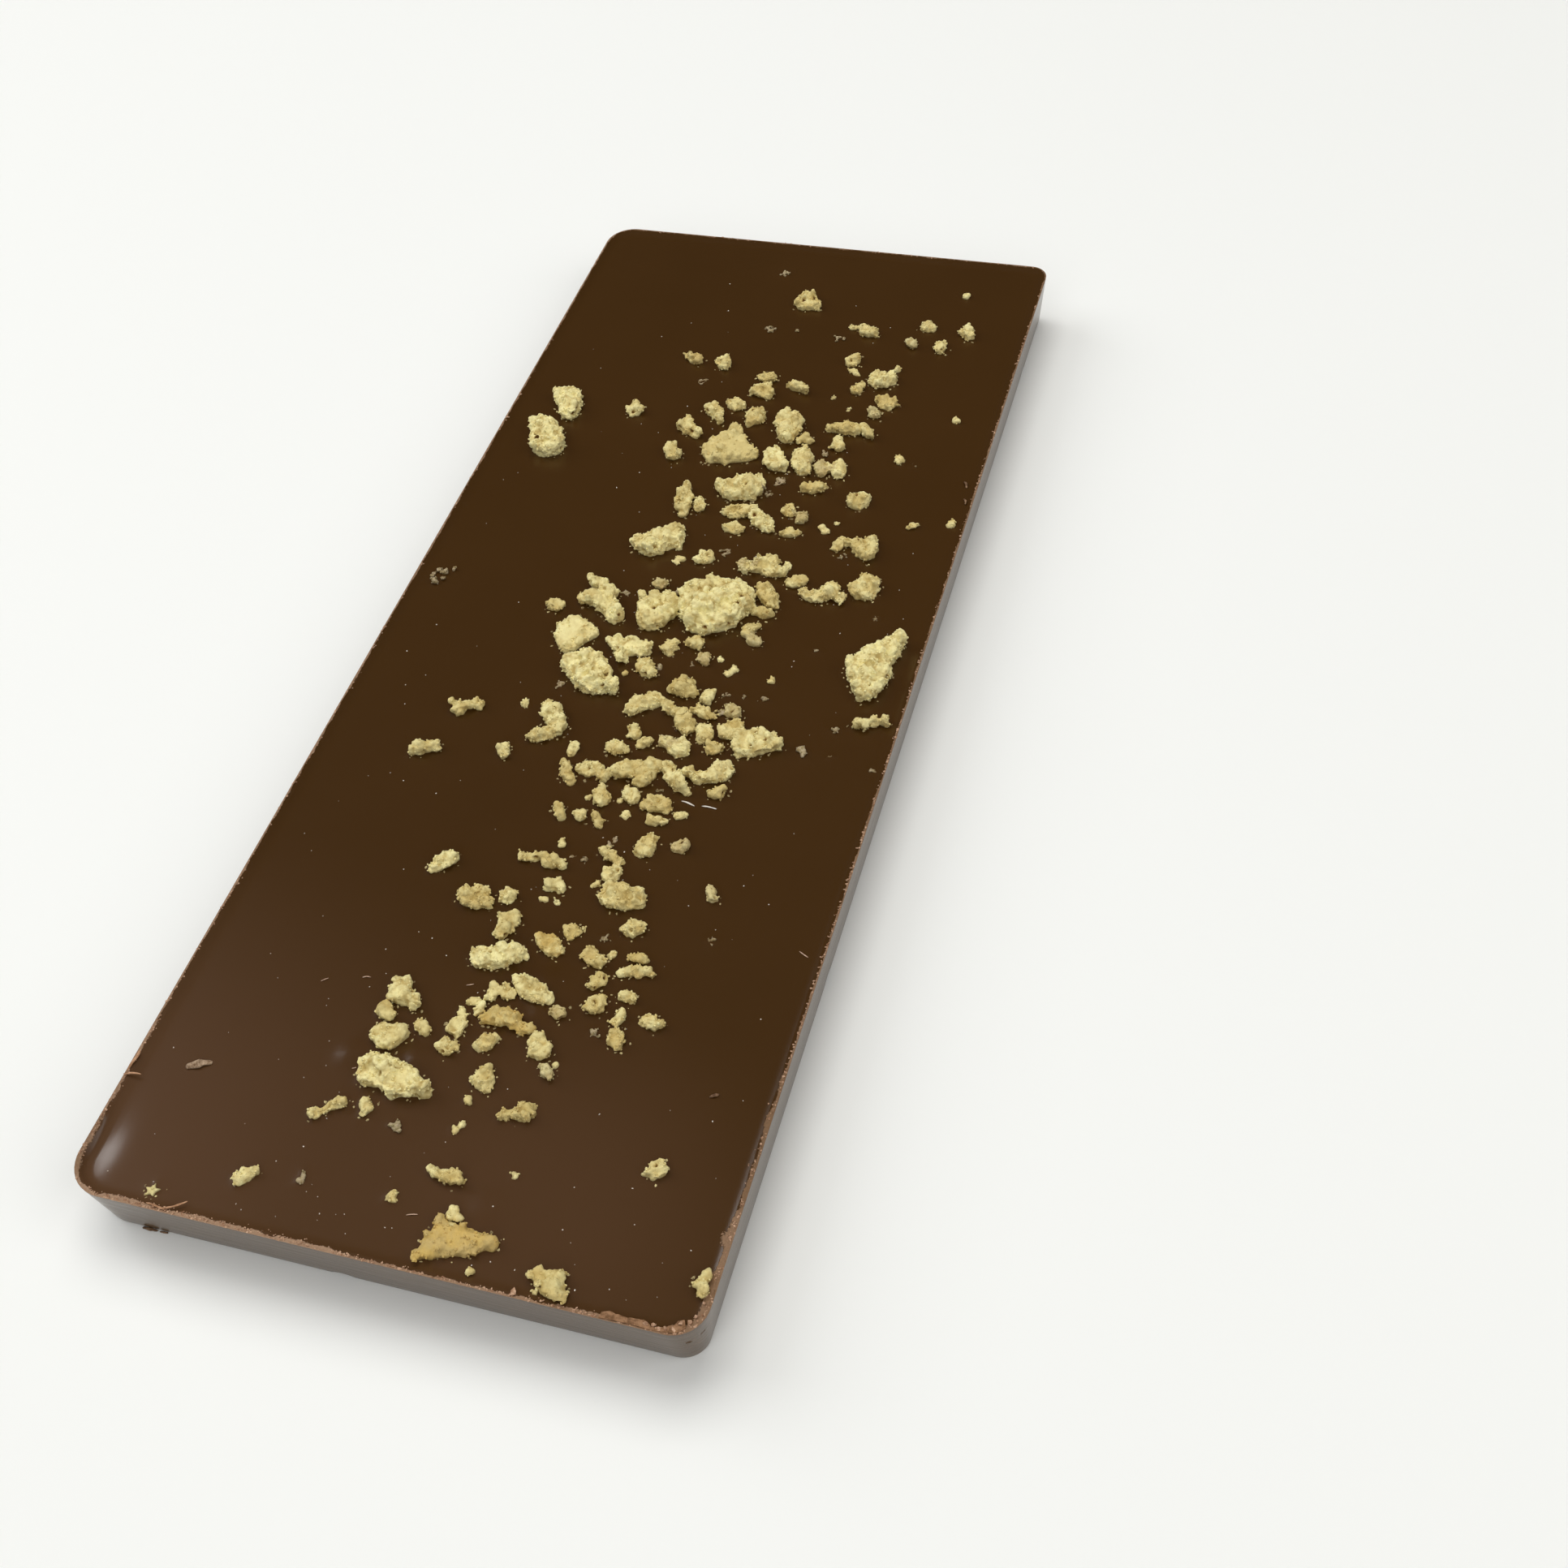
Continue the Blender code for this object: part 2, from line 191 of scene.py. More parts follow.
def gapTo(place, start, end):  # distance from a place to a straight run
    run = end - start
    share = min(1.0, max(0.0, (place - start).dot(run) / run.length_squared))
    return (place - start - run * share).length


def treeOf(places, numbers):
    tree = KDTree(len(numbers))
    for place, number in zip(places, numbers):
        tree.insert(place, number)
    tree.balance()
    return tree


lump = {
    "bumps": 1.2,  # for each radius of a lump
    "apart": 50,  # how far apart in the noise two lumps may be
    "turn": (0, 3),  # in radians
}


def addLump(bm, centre, radii, turn, draw, unevenness, steps=2):
    made = bmesh.ops.create_icosphere(bm, subdivisions=steps, radius=1.0)
    shift = Vector([draw.uniform(-lump["apart"], lump["apart"]) for axis in range(3)])
    for vert in made["verts"]:
        vert.co *= 1 + unevenness * noise.noise(vert.co * lump["bumps"] + shift)
    stand = Matrix.Translation(centre) @ Matrix.Rotation(turn, 4, "Z") @ Matrix.Diagonal((*radii, 1))
    bmesh.ops.transform(bm, matrix=stand, verts=made["verts"])
    return made["verts"]


def onRoot(piece, standsForNode=False):
    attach(piece, "root")
    if standsForNode:
        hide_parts(cadNode)
    triangles = sum(len(face.vertices) - 2 for face in piece.data.polygons)
    print(piece.name, "has", triangles, "triangles")


# The bar's own sizes, which the flakes and the scraps read too
bar = {
    "halfWidth": cadHigh.x,
    "halfLength": cadHigh.y,
    "thickness": 7.0 * mm,
    "poolDepth": 0.35 * mm,
    "sideDraft": 0.8 * mm,
    "endDraft": 1.0 * mm,
    "footRound": 0.5 * mm,
    "corners": {(-1, -1): 3.8 * mm, (1, -1): 3.2 * mm, (1, 1): 2.2 * mm, (-1, 1): 3.4 * mm},
}
poolLevel = bar["thickness"] - bar["poolDepth"]


def wayIn(x, y):  # how far a place on the back is from the rim's outer edge, and the way out to it
    side = Vector((1 if x > 0 else -1, 1 if y > 0 else -1, 0))
    radius = bar["corners"][(int(side.x), int(side.y))]
    over = Vector((abs(x) - bar["halfWidth"] + radius, abs(y) - bar["halfLength"] + radius, 0))
    if over.x > 0 and over.y > 0:
        return radius - over.length, over.normalized() * side
    if over.x > over.y:
        return radius - over.x, Vector((side.x, 0, 0))
    return radius - over.y, Vector((0, side.y, 0))


# Maple flakes

maple = {
    "voxel": 0.14 * mm,
    "crumbVoxel": 0.13 * mm,
    "seed": 7,
    "baseHeight": 0.5,  # a flake's height in mm is this and a share of its mean breadth
    "heightShare": 0.245,
    "least": 0.5,  # share of that height that a flake without clods has
    "bands": {"mapleFlakesFar": 21.5, "mapleFlakesMiddle": -9.5, "mapleFlakesNear": -80},  # least y in mm
    "sunk": 0.3 * mm,
    "drawnIn": 0.03 * mm,
    "crown": ((0, 0.42), (0.05, 0.6), (0.07, 0.74)),  # inset and level, in shares of breadth and height
    "smallCorners": (6, 9),
    "smallReach": (0.85, 1.15),
    "smallUneven": 0.25,  # how far a corner strays, in shares of the step to the next
    "sideClods": 2.6,  # clods of sugar for each square mm of a flake's side, and of its top
    "topClods": 1.9,
    "topLeast": 2,  # clods more on every top that has any
    "clod": (0.17, 0.36),  # radii in mm, and what each mm of the flake's breadth adds
    "clodGrowth": 0.03,
    "sideOut": (0.5, 1.3),  # how far out of the side a clod's middle lies, in shares of its radius
    "sideLevel": (0.02, 0.7),  # and how high, in shares of the flake's height
    "topSunk": (0.45, 1.15),  # how deep in the top it lies, in shares of its radius
    "dome": (0.55, 0.45, 0.24),  # level of the top's edge, rise to its middle, and how far in that takes
    "topMargin": 0.18 * mm,
    "clodStretch": (0.8, 1.25),
    "lumpUnevenness": 0.6,
    "smoothClods": 0.35,  # share of clods and of relief that a smooth flake has
    "smoothRelief": 0.3,
    "swell": (1.7 * mm, 0.6 * mm),  # size and depth of the humps over a flake's top
    "mottle": (1.5 * mm, 0.5),  # size of the paler and deeper patches, and how far they go
    "knob": (1.0 * mm, 0.13 * mm),  # size and depth of the clusters of sugar grains
    "bead": (0.42 * mm, 0.1 * mm),  # and of the beads on them
    "beadShift": (0.3, 0.1, 0.2),
    "cellMiddle": 0.9,  # how far a cluster's middle stands out, in shares of its depth
    "crystal": (0.3 * mm, 0.08 * mm),  # and of the fine grain
    "pit": (1.2 * mm, 0.32 * mm),  # and of the pits
    "pitChance": 0.4,
    "pitChoice": 7.3,
    "pitWall": (0.26, 0.1),  # from the pit's edge to its floor, in shares of its size
    "knobGap": (0.4, 0.75, 0.45),  # from where to where a gap between clusters deepens, and how dark the shade painted into it is
    "beadGap": (0.4, 0.8, 0.3),
    "deepest": 1.5,  # the most that gaps and pits together count in the colours, which paint shade into them
    "mottleRelief": 1.5,  # how soon a flake with some relief has the whole mottle
    # First corners of the flakes that broke off a flat sheet, of those without clods, of the orange ones,
    # and of those with a deeper or paler tone
    "smooth": ((-10.6, 0.4), (-3.8, 32.8), (3.8, -73.8)),
    "plain": ((-21.6, -72.3),),
    "orange": ((2.3, -40.1), (0.6, -49.4), (3.8, -73.8)),
    "amber": {(0.6, -49.4): 0.45, (3.8, -73.8): 1.8, (-3.8, 32.8): 2.0, (-21.6, -72.3): -0.6},
    "plainRelief": 0.12,
    "smallTone": 0.3,
    "toneBreadth": 3.7,  # breadth in mm of a flake that keeps its drawn tone
    "paler": 0.3,  # how much paler a flake is for each mm of its breadth
    "warmth": (0, 0.3),  # how tan a flake is, from least to most
    "smallWarmth": (0, 0.4),
    "smallDrowned": (0, 0, 0, 0, 0.3),  # one small flake in five is filmed over with chocolate
    "smallRelief": 0.9,
}

crumb = {
    "lumps": (5, 8, 4),  # fewest, most, and how many more where the chocolate has run over it
    "lump": (0.17, 0.28, 0.35),  # radii in shares of the breadth, and how much less where it is run over
    "spread": (0.13, 0.11),  # how far its lumps lie from its middle, and how much further where run over
    "level": (0.06, 0.1),  # how high the lowest may lie, and how much higher the others
    "stretch": ((0.9, 1.3), (0.8, 1.1), 0.9),  # along, across and up
    "relief": 0.6,
    "drowned": 0.8,
    "warmth": (0, 0.5),
}

mapleGrain = {
    "share": 0.032,  # of the skin's corners that carry a grain
    "radius": (0.06, 0.15),  # in mm
    "stretch": (0.7, 1.3),
    "proud": (0.1, 0.6),  # how far its middle stands out, in shares of its radius
    "least": 0.05 * mm,  # above the pool
    "unevenness": 0.5,
    "toneSpread": 0.3,
    "batch": 100,  # grains made together
}

maplePaints = {
    "pale": paint(255, 244, 180),
    "cream": paint(222, 201, 134),
    "deep": paint(208, 181, 117),
    "warm": paint(218, 185, 106),
    # painted shade: the next two colours darken the gaps between grain clusters and the pits
    "creaseShade": paint(198, 172, 103),
    "shade": paint(120, 84, 40),
    "film": (paint(104, 80, 52), paint(178, 160, 134)),
    "foot": paint(104, 78, 46),
}

factNames = ("tone", "hollow", "drowned", "warmth")

# Large ones, each by the corners of its outline in mm
largeFlakes = (
    ((-0.7, 62.5), (-0.2, 63.9), (0.7, 64.4), (1.8, 63.7), (2.8, 61.9), (2.4, 61.5), (0.5, 61.1),
     (-0.4, 61.6)),
    ((8.9, 58.0), (9.6, 58.9), (11.2, 58.5), (11.6, 57.6), (10.6, 57.1), (9.2, 57.1)),
    ((21.5, 59.7), (22.5, 60.9), (23.3, 60.2), (23.7, 59.0), (22.9, 58.6), (22.0, 59.0)),
    ((12.6, 48.8), (13.4, 50.1), (15.3, 50.2), (16.2, 48.8), (15.4, 47.7), (13.8, 47.1), (12.8, 47.8)),
    ((-1.4, 43.5), (-0.2, 45.1), (1.2, 45.1), (1.8, 43.6), (1.2, 42.8), (-0.3, 43.2)),
    ((2.7, 45.8), (3.6, 46.5), (5.2, 46.1), (5.9, 45.1), (5.2, 44.8), (3.6, 45.1)),
    ((14.4, 44.7), (15.2, 45.3), (16.8, 45.2), (17.3, 44.5), (16.3, 43.3), (15.2, 43.6)),
    ((-11.7, 49.2), (-10.7, 49.8), (-9.4, 49.4), (-8.9, 48.4), (-9.5, 47.9), (-10.8, 48.3)),
    ((-3.6, 41.1), (-2.6, 41.8), (-1.3, 41.6), (-0.8, 40.6), (-1.8, 39.9), (-2.9, 40.2)),
    ((-5.8, 39.2), (-4.4, 40.3), (-3.5, 39.5), (-3.1, 38.3), (-3.0, 37.3), (-4.0, 37.9), (-5.1, 38.7)),
    ((-0.5, 39.2), (0.0, 40.3), (1.8, 40.2), (2.1, 38.7), (1.4, 37.9), (0.5, 37.5), (0.0, 38.2)),
    ((-8.0, 35.8), (-7.0, 37.0), (-6.0, 36.4), (-5.0, 34.9), (-4.8, 34.3), (-7.0, 34.6), (-7.9, 35.3)),
    ((-3.8, 32.8), (-2.6, 34.8), (-1.4, 36.4), (-0.4, 36.6), (0.5, 35.1), (2.2, 33.2), (3.1, 31.9),
     (2.0, 31.0), (-0.5, 30.3), (-2.7, 30.1), (-3.7, 31.3)),
    ((3.5, 38.5), (4.3, 40.6), (5.1, 39.9), (6.7, 39.9), (7.0, 38.3), (6.8, 36.6), (6.3, 35.3),
     (5.0, 35.3), (4.2, 36.7)),
    ((4.1, 31.3), (4.2, 33.5), (5.1, 34.0), (5.9, 33.0), (6.9, 31.0), (7.3, 30.2), (5.7, 30.0),
     (4.7, 30.4)),
    ((7.3, 31.7), (7.5, 34.0), (8.7, 34.4), (9.7, 33.0), (10.1, 31.0), (9.8, 29.9), (8.6, 30.1),
     (7.8, 31.1)),
    ((9.7, 27.6), (10.5, 28.3), (11.6, 28.8), (12.8, 28.6), (12.6, 27.6), (11.3, 26.8), (10.1, 27.1)),
    ((9.9, 38.7), (10.9, 39.3), (13.9, 39.4), (14.2, 38.2), (12.2, 38.0), (10.2, 38.2)),
    ((-0.2, 25.9), (1.6, 27.0), (3.5, 28.3), (4.8, 28.4), (5.6, 27.0), (5.5, 25.6), (4.8, 24.7),
     (2.5, 24.1), (1.2, 24.3), (0.0, 25.4)),
    ((15.7, 26.6), (17.0, 28.0), (18.2, 27.4), (18.3, 26.3), (17.3, 25.1), (16.3, 25.4), (15.8, 26.0)),
    ((-4.2, 24.6), (-3.4, 25.8), (-2.9, 24.9), (-2.1, 23.3), (-1.9, 21.6), (-2.1, 20.2), (-3.4, 20.9),
     (-4.2, 22.2)),
    ((2.1, 22.1), (2.8, 23.0), (4.5, 23.4), (5.3, 22.6), (4.9, 21.6), (3.1, 21.1), (2.1, 21.6)),
    ((5.1, 22.5), (5.7, 22.8), (6.9, 21.9), (8.4, 20.7), (8.7, 19.9), (8.1, 19.4), (6.6, 20.0),
     (5.5, 21.2)),
    ((17.3, 19.7), (18.4, 19.9), (19.4, 20.0), (20.4, 20.6), (21.0, 19.7), (21.1, 17.8), (20.4, 17.0),
     (19.0, 17.8), (17.9, 19.0)),
    ((-6.9, 14.9), (-6.2, 15.4), (-3.7, 16.8), (-2.2, 18.4), (-1.5, 17.6), (-1.0, 15.8), (-1.0, 15.1),
     (-2.3, 14.9), (-2.8, 13.8), (-4.0, 13.1), (-5.6, 13.4), (-6.6, 14.3)),
    ((7.6, 13.6), (8.1, 15.0), (9.5, 15.6), (10.8, 15.1), (10.9, 14.2), (12.0, 13.0), (10.3, 12.4),
     (9.1, 12.9), (8.0, 12.9)),
    ((14.7, 10.7), (15.8, 10.8), (16.7, 11.6), (17.5, 12.5), (18.4, 12.5), (18.6, 11.4), (19.5, 10.2),
     (17.5, 10.0), (16.4, 9.5), (14.8, 9.9)),
    ((19.4, 12.3), (20.2, 13.3), (20.5, 14.2), (21.6, 14.5), (22.5, 14.2), (22.9, 12.5), (22.7, 11.5),
     (21.9, 10.9), (20.7, 10.9)),
    ((-25.3, 38.5), (-24.3, 39.6), (-22.8, 40.0), (-21.9, 39.2), (-21.3, 37.3), (-21.2, 35.3),
     (-21.8, 34.6), (-23.0, 34.8), (-23.9, 36.4), (-24.9, 37.9)),
    ((-26.3, 33.1), (-24.6, 33.7), (-23.1, 33.0), (-21.9, 31.9), (-20.9, 30.3), (-20.6, 29.0),
     (-21.2, 27.9), (-22.6, 27.4), (-24.2, 28.0), (-24.9, 29.4), (-25.7, 31.2)),
    ((1.8, 6.6), (2.2, 8.4), (3.2, 9.3), (5.1, 10.0), (6.9, 10.0), (8.4, 9.7), (9.7, 8.7), (10.1, 7.4),
     (9.6, 6.1), (8.9, 4.4), (7.4, 3.1), (5.7, 2.3), (3.9, 2.6), (2.8, 4.0), (2.2, 5.2)),
    ((1.9, 7.4), (2.4, 9.2), (3.6, 10.0), (5.0, 10.0), (5.2, 8.0), (3.6, 6.8)),
    ((-2.6, 5.2), (-1.9, 5.9), (-1.8, 7.0), (-0.4, 7.4), (0.9, 7.2), (1.8, 6.2), (1.8, 4.4), (1.2, 2.7),
     (-0.1, 1.8), (-1.5, 1.8), (-2.2, 3.5)),
    ((-9.2, 7.1), (-8.1, 7.8), (-6.7, 7.4), (-5.6, 6.6), (-5.5, 5.3), (-4.3, 4.0), (-3.8, 2.8),
     (-4.9, 1.9), (-6.1, 2.8), (-7.2, 4.0), (-8.3, 4.2), (-9.3, 4.8), (-8.8, 5.6), (-7.6, 5.8),
     (-7.9, 6.6)),
    ((-10.6, 0.4), (-9.7, 1.9), (-8.8, 2.3), (-7.4, 1.5), (-6.0, 0.7), (-5.6, -0.2), (-6.6, -1.4),
     (-7.4, -3.0), (-8.8, -3.3), (-9.9, -2.2), (-10.5, -0.9)),
    ((-7.9, -5.1), (-7.2, -4.2), (-5.9, -2.9), (-4.4, -3.4), (-2.7, -4.8), (-1.6, -6.4), (-0.6, -7.8),
     (-1.5, -8.1), (-3.6, -8.6), (-5.3, -8.0), (-7.0, -6.5)),
    ((-4.1, -0.8), (-2.7, -0.2), (-1.4, -0.1), (-0.2, -0.3), (1.0, -1.5), (-0.1, -2.1), (-1.2, -2.4),
     (-1.4, -3.5), (-2.1, -3.5), (-2.7, -2.3), (-3.7, -1.5)),
    ((0.1, -2.9), (1.1, -2.4), (1.9, -3.1), (2.7, -4.4), (2.1, -5.0), (1.1, -5.0), (0.2, -4.1)),
    ((22.5, 0.7), (23.2, 1.3), (24.0, 2.8), (25.1, 3.7), (25.6, 4.7), (26.7, 5.3), (27.2, 6.0),
     (27.6, 5.2), (27.5, 4.0), (27.1, 1.5), (27.1, -0.9), (26.6, -2.9), (24.9, -3.8), (24.0, -2.6),
     (23.3, -1.4), (22.6, 0.0)),
    ((25.0, -7.2), (26.3, -6.8), (27.0, -6.1), (28.6, -5.7), (28.9, -6.6), (27.3, -6.6), (26.5, -7.5)),
    ((4.7, -6.6), (4.9, -5.3), (6.1, -4.4), (7.1, -4.9), (7.9, -6.5), (6.6, -7.1)),
    ((1.0, -9.6), (1.7, -8.4), (3.3, -7.2), (4.6, -7.7), (5.0, -8.4), (4.0, -8.9), (2.8, -9.9),
     (1.8, -10.6), (1.0, -10.2)),
    ((5.0, -8.6), (6.2, -8.9), (7.6, -9.6), (8.9, -10.4), (9.2, -11.4), (8.4, -12.2), (7.6, -11.8),
     (6.7, -10.9), (6.6, -10.0), (5.2, -9.5)),
    ((14.0, -10.4), (15.4, -10.5), (17.7, -10.5), (18.8, -11.3), (18.6, -12.0), (17.2, -12.7),
     (15.9, -13.8), (14.5, -13.8), (13.7, -12.9), (13.7, -11.6)),
    ((11.7, -10.8), (12.2, -9.7), (13.2, -9.2), (14.1, -9.8), (14.3, -11.2), (13.2, -11.9),
     (12.0, -11.7)),
    ((6.2, -13.7), (6.9, -13.2), (8.7, -13.2), (9.6, -14.1), (9.3, -14.8), (8.4, -15.3), (7.2, -14.8),
     (6.6, -14.1)),
    ((-7.8, -11.1), (-7.0, -11.2), (-5.8, -11.5), (-5.0, -12.5), (-4.3, -13.5), (-4.5, -14.7),
     (-5.4, -15.1), (-6.4, -13.9), (-7.4, -12.9), (-7.7, -11.9)),
    ((-8.0, -15.4), (-7.5, -14.8), (-6.1, -14.4), (-5.3, -15.2), (-5.9, -15.9), (-7.2, -16.4),
     (-8.0, -15.9)),
    ((10.0, -17.0), (10.9, -16.9), (12.2, -16.7), (13.1, -15.3), (14.2, -15.0), (14.9, -15.8),
     (14.7, -16.9), (13.4, -17.7), (11.6, -18.3), (10.3, -17.4)),
    ((-1.5, -18.8), (-0.8, -17.9), (0.5, -17.5), (1.6, -18.2), (1.3, -19.1), (0.0, -19.8),
     (-1.2, -19.3)),
    ((1.3, -18.9), (2.3, -18.1), (3.9, -17.0), (5.2, -16.7), (5.1, -18.8), (3.8, -19.2), (2.4, -19.0),
     (2.2, -20.0), (1.3, -20.0)),
    ((5.3, -16.9), (6.2, -16.3), (7.3, -17.0), (7.3, -18.4), (6.4, -19.9), (5.3, -19.8), (5.1, -18.2)),
    ((7.5, -16.7), (8.4, -16.6), (9.3, -17.5), (10.5, -18.5), (11.3, -19.5), (10.4, -19.8), (9.0, -19.2),
     (7.8, -18.1)),
    ((-19.7, -20.0), (-18.8, -19.3), (-17.9, -18.7), (-16.9, -18.8), (-16.5, -19.5), (-17.6, -19.9),
     (-18.4, -20.7), (-19.4, -20.7)),
    ((-17.7, -12.8), (-16.5, -12.7), (-15.3, -11.8), (-14.2, -12.4), (-14.7, -13.2), (-15.5, -13.3),
     (-16.4, -14.2), (-17.3, -14.1)),
    ((7.1, -21.8), (7.7, -21.0), (8.8, -20.7), (9.9, -21.2), (10.1, -22.1), (9.3, -22.6), (8.1, -22.7),
     (7.1, -22.5)),
    ((8.1, -28.2), (8.1, -27.0), (8.8, -25.9), (9.9, -25.8), (10.2, -26.9), (9.9, -28.2), (9.0, -28.6)),
    ((-2.8, -31.2), (-2.2, -30.7), (-0.9, -30.2), (0.2, -30.5), (2.0, -30.9), (1.6, -31.4), (0.8, -31.8),
     (0.0, -31.7), (-0.5, -31.0), (-1.5, -31.2), (-2.4, -31.4)),
    ((6.5, -33.9), (6.9, -32.9), (8.1, -32.4), (9.1, -32.2), (10.4, -32.4), (11.3, -33.3), (11.5, -34.0),
     (10.5, -34.7), (9.3, -35.1), (7.7, -35.1), (6.8, -34.6)),
    ((-11.5, -33.8), (-10.9, -33.2), (-10.3, -32.4), (-9.0, -32.1), (-8.9, -32.6), (-9.3, -33.6),
     (-10.1, -34.4), (-11.2, -34.7)),
    ((-7.0, -36.3), (-6.2, -35.6), (-5.4, -35.4), (-4.4, -36.0), (-3.5, -36.9), (-3.6, -37.7),
     (-5.0, -38.1), (-6.4, -37.9), (-7.0, -37.2)),
    ((-2.2, -38.3), (-1.4, -37.9), (-0.3, -37.7), (0.0, -38.7), (-0.3, -39.9), (-0.9, -40.9),
     (-1.8, -40.5), (-2.0, -39.4)),
    ((-3.3, -43.0), (-2.3, -42.4), (-0.9, -42.4), (0.3, -41.4), (1.8, -41.4), (2.3, -42.3), (1.6, -43.0),
     (0.5, -43.8), (-0.5, -44.4), (-2.2, -44.6), (-2.9, -43.9)),
    ((2.3, -40.1), (2.9, -39.5), (3.9, -39.4), (4.9, -40.1), (5.4, -41.0), (4.7, -41.8), (3.5, -41.3),
     (2.5, -40.7)),
    ((2.0, -45.0), (2.6, -44.4), (3.7, -44.6), (5.0, -45.0), (5.9, -45.8), (6.4, -46.5), (5.8, -47.1),
     (4.4, -47.0), (3.2, -46.4), (2.3, -45.8)),
    ((0.6, -49.4), (1.2, -48.8), (2.4, -48.1), (4.1, -48.8), (4.9, -49.5), (5.9, -50.0), (5.2, -50.4),
     (4.4, -50.5), (3.1, -50.0), (2.0, -50.3), (0.7, -50.2)),
    ((-9.3, -47.6), (-8.8, -47.2), (-7.6, -47.4), (-7.1, -48.2), (-6.2, -48.9), (-5.6, -49.8),
     (-6.1, -50.3), (-7.4, -50.1), (-8.8, -49.9), (-9.0, -48.9)),
    ((-8.9, -53.3), (-8.6, -52.7), (-7.3, -52.4), (-5.8, -52.3), (-5.4, -53.0), (-5.7, -54.0),
     (-6.5, -55.0), (-7.7, -55.0), (-8.8, -54.1)),
    ((-8.5, -57.1), (-7.9, -56.2), (-6.5, -55.8), (-5.3, -55.8), (-3.9, -56.4), (-2.6, -57.0),
     (-1.0, -58.0), (-1.3, -58.8), (-3.2, -59.3), (-4.4, -59.6), (-5.2, -59.0), (-7.6, -59.0),
     (-8.3, -58.3)),
    ((5.9, -51.5), (6.1, -50.6), (6.9, -50.1), (7.7, -50.8), (8.4, -52.0), (7.5, -52.9), (6.2, -52.5)),
    ((2.1, -56.4), (2.6, -54.9), (3.3, -54.4), (3.9, -55.0), (4.4, -56.0), (3.9, -57.0), (2.8, -56.9)),
    ((6.1, -59.0), (6.5, -58.4), (7.4, -58.0), (8.1, -57.3), (8.8, -57.3), (9.1, -58.1), (8.9, -59.0),
     (7.6, -59.2)),
    ((-11.2, -62.8), (-10.0, -61.8), (-9.0, -60.7), (-8.1, -60.9), (-8.2, -61.2), (-9.3, -62.1),
     (-10.4, -63.2)),
    ((2.1, -65.3), (3.4, -65.1), (4.9, -65.4), (5.6, -65.8), (5.2, -66.3), (4.3, -66.5), (2.7, -66.2)),
    ((3.8, -73.8), (4.7, -69.8), (7.6, -69.9), (10.5, -70.3), (10.6, -71.0), (8.6, -72.3), (5.9, -73.2)),
    ((14.3, -72.7), (14.8, -72.0), (15.6, -72.3), (16.3, -72.2), (16.6, -71.8), (17.1, -72.0),
     (17.5, -72.9), (18.1, -73.8), (17.9, -74.3), (16.9, -74.4), (16.0, -74.3), (15.1, -73.7)),
    ((-21.6, -72.3), (-21.4, -72.9), (-20.8, -72.9), (-21.2, -73.4), (-21.1, -73.9), (-21.6, -73.6),
     (-22.1, -73.9), (-22.0, -73.4), (-22.4, -73.0), (-21.8, -72.9)),
    ((28.0, -70.2), (28.4, -69.3), (29.2, -69.0), (29.2, -70.0), (29.3, -71.0), (28.7, -70.8)),
    ((9.7, 10.7), (10.9, 11.0), (12.0, 10.0), (12.6, 8.8), (12.5, 7.7), (11.5, 7.5), (10.6, 8.4),
     (9.9, 9.2)),
)

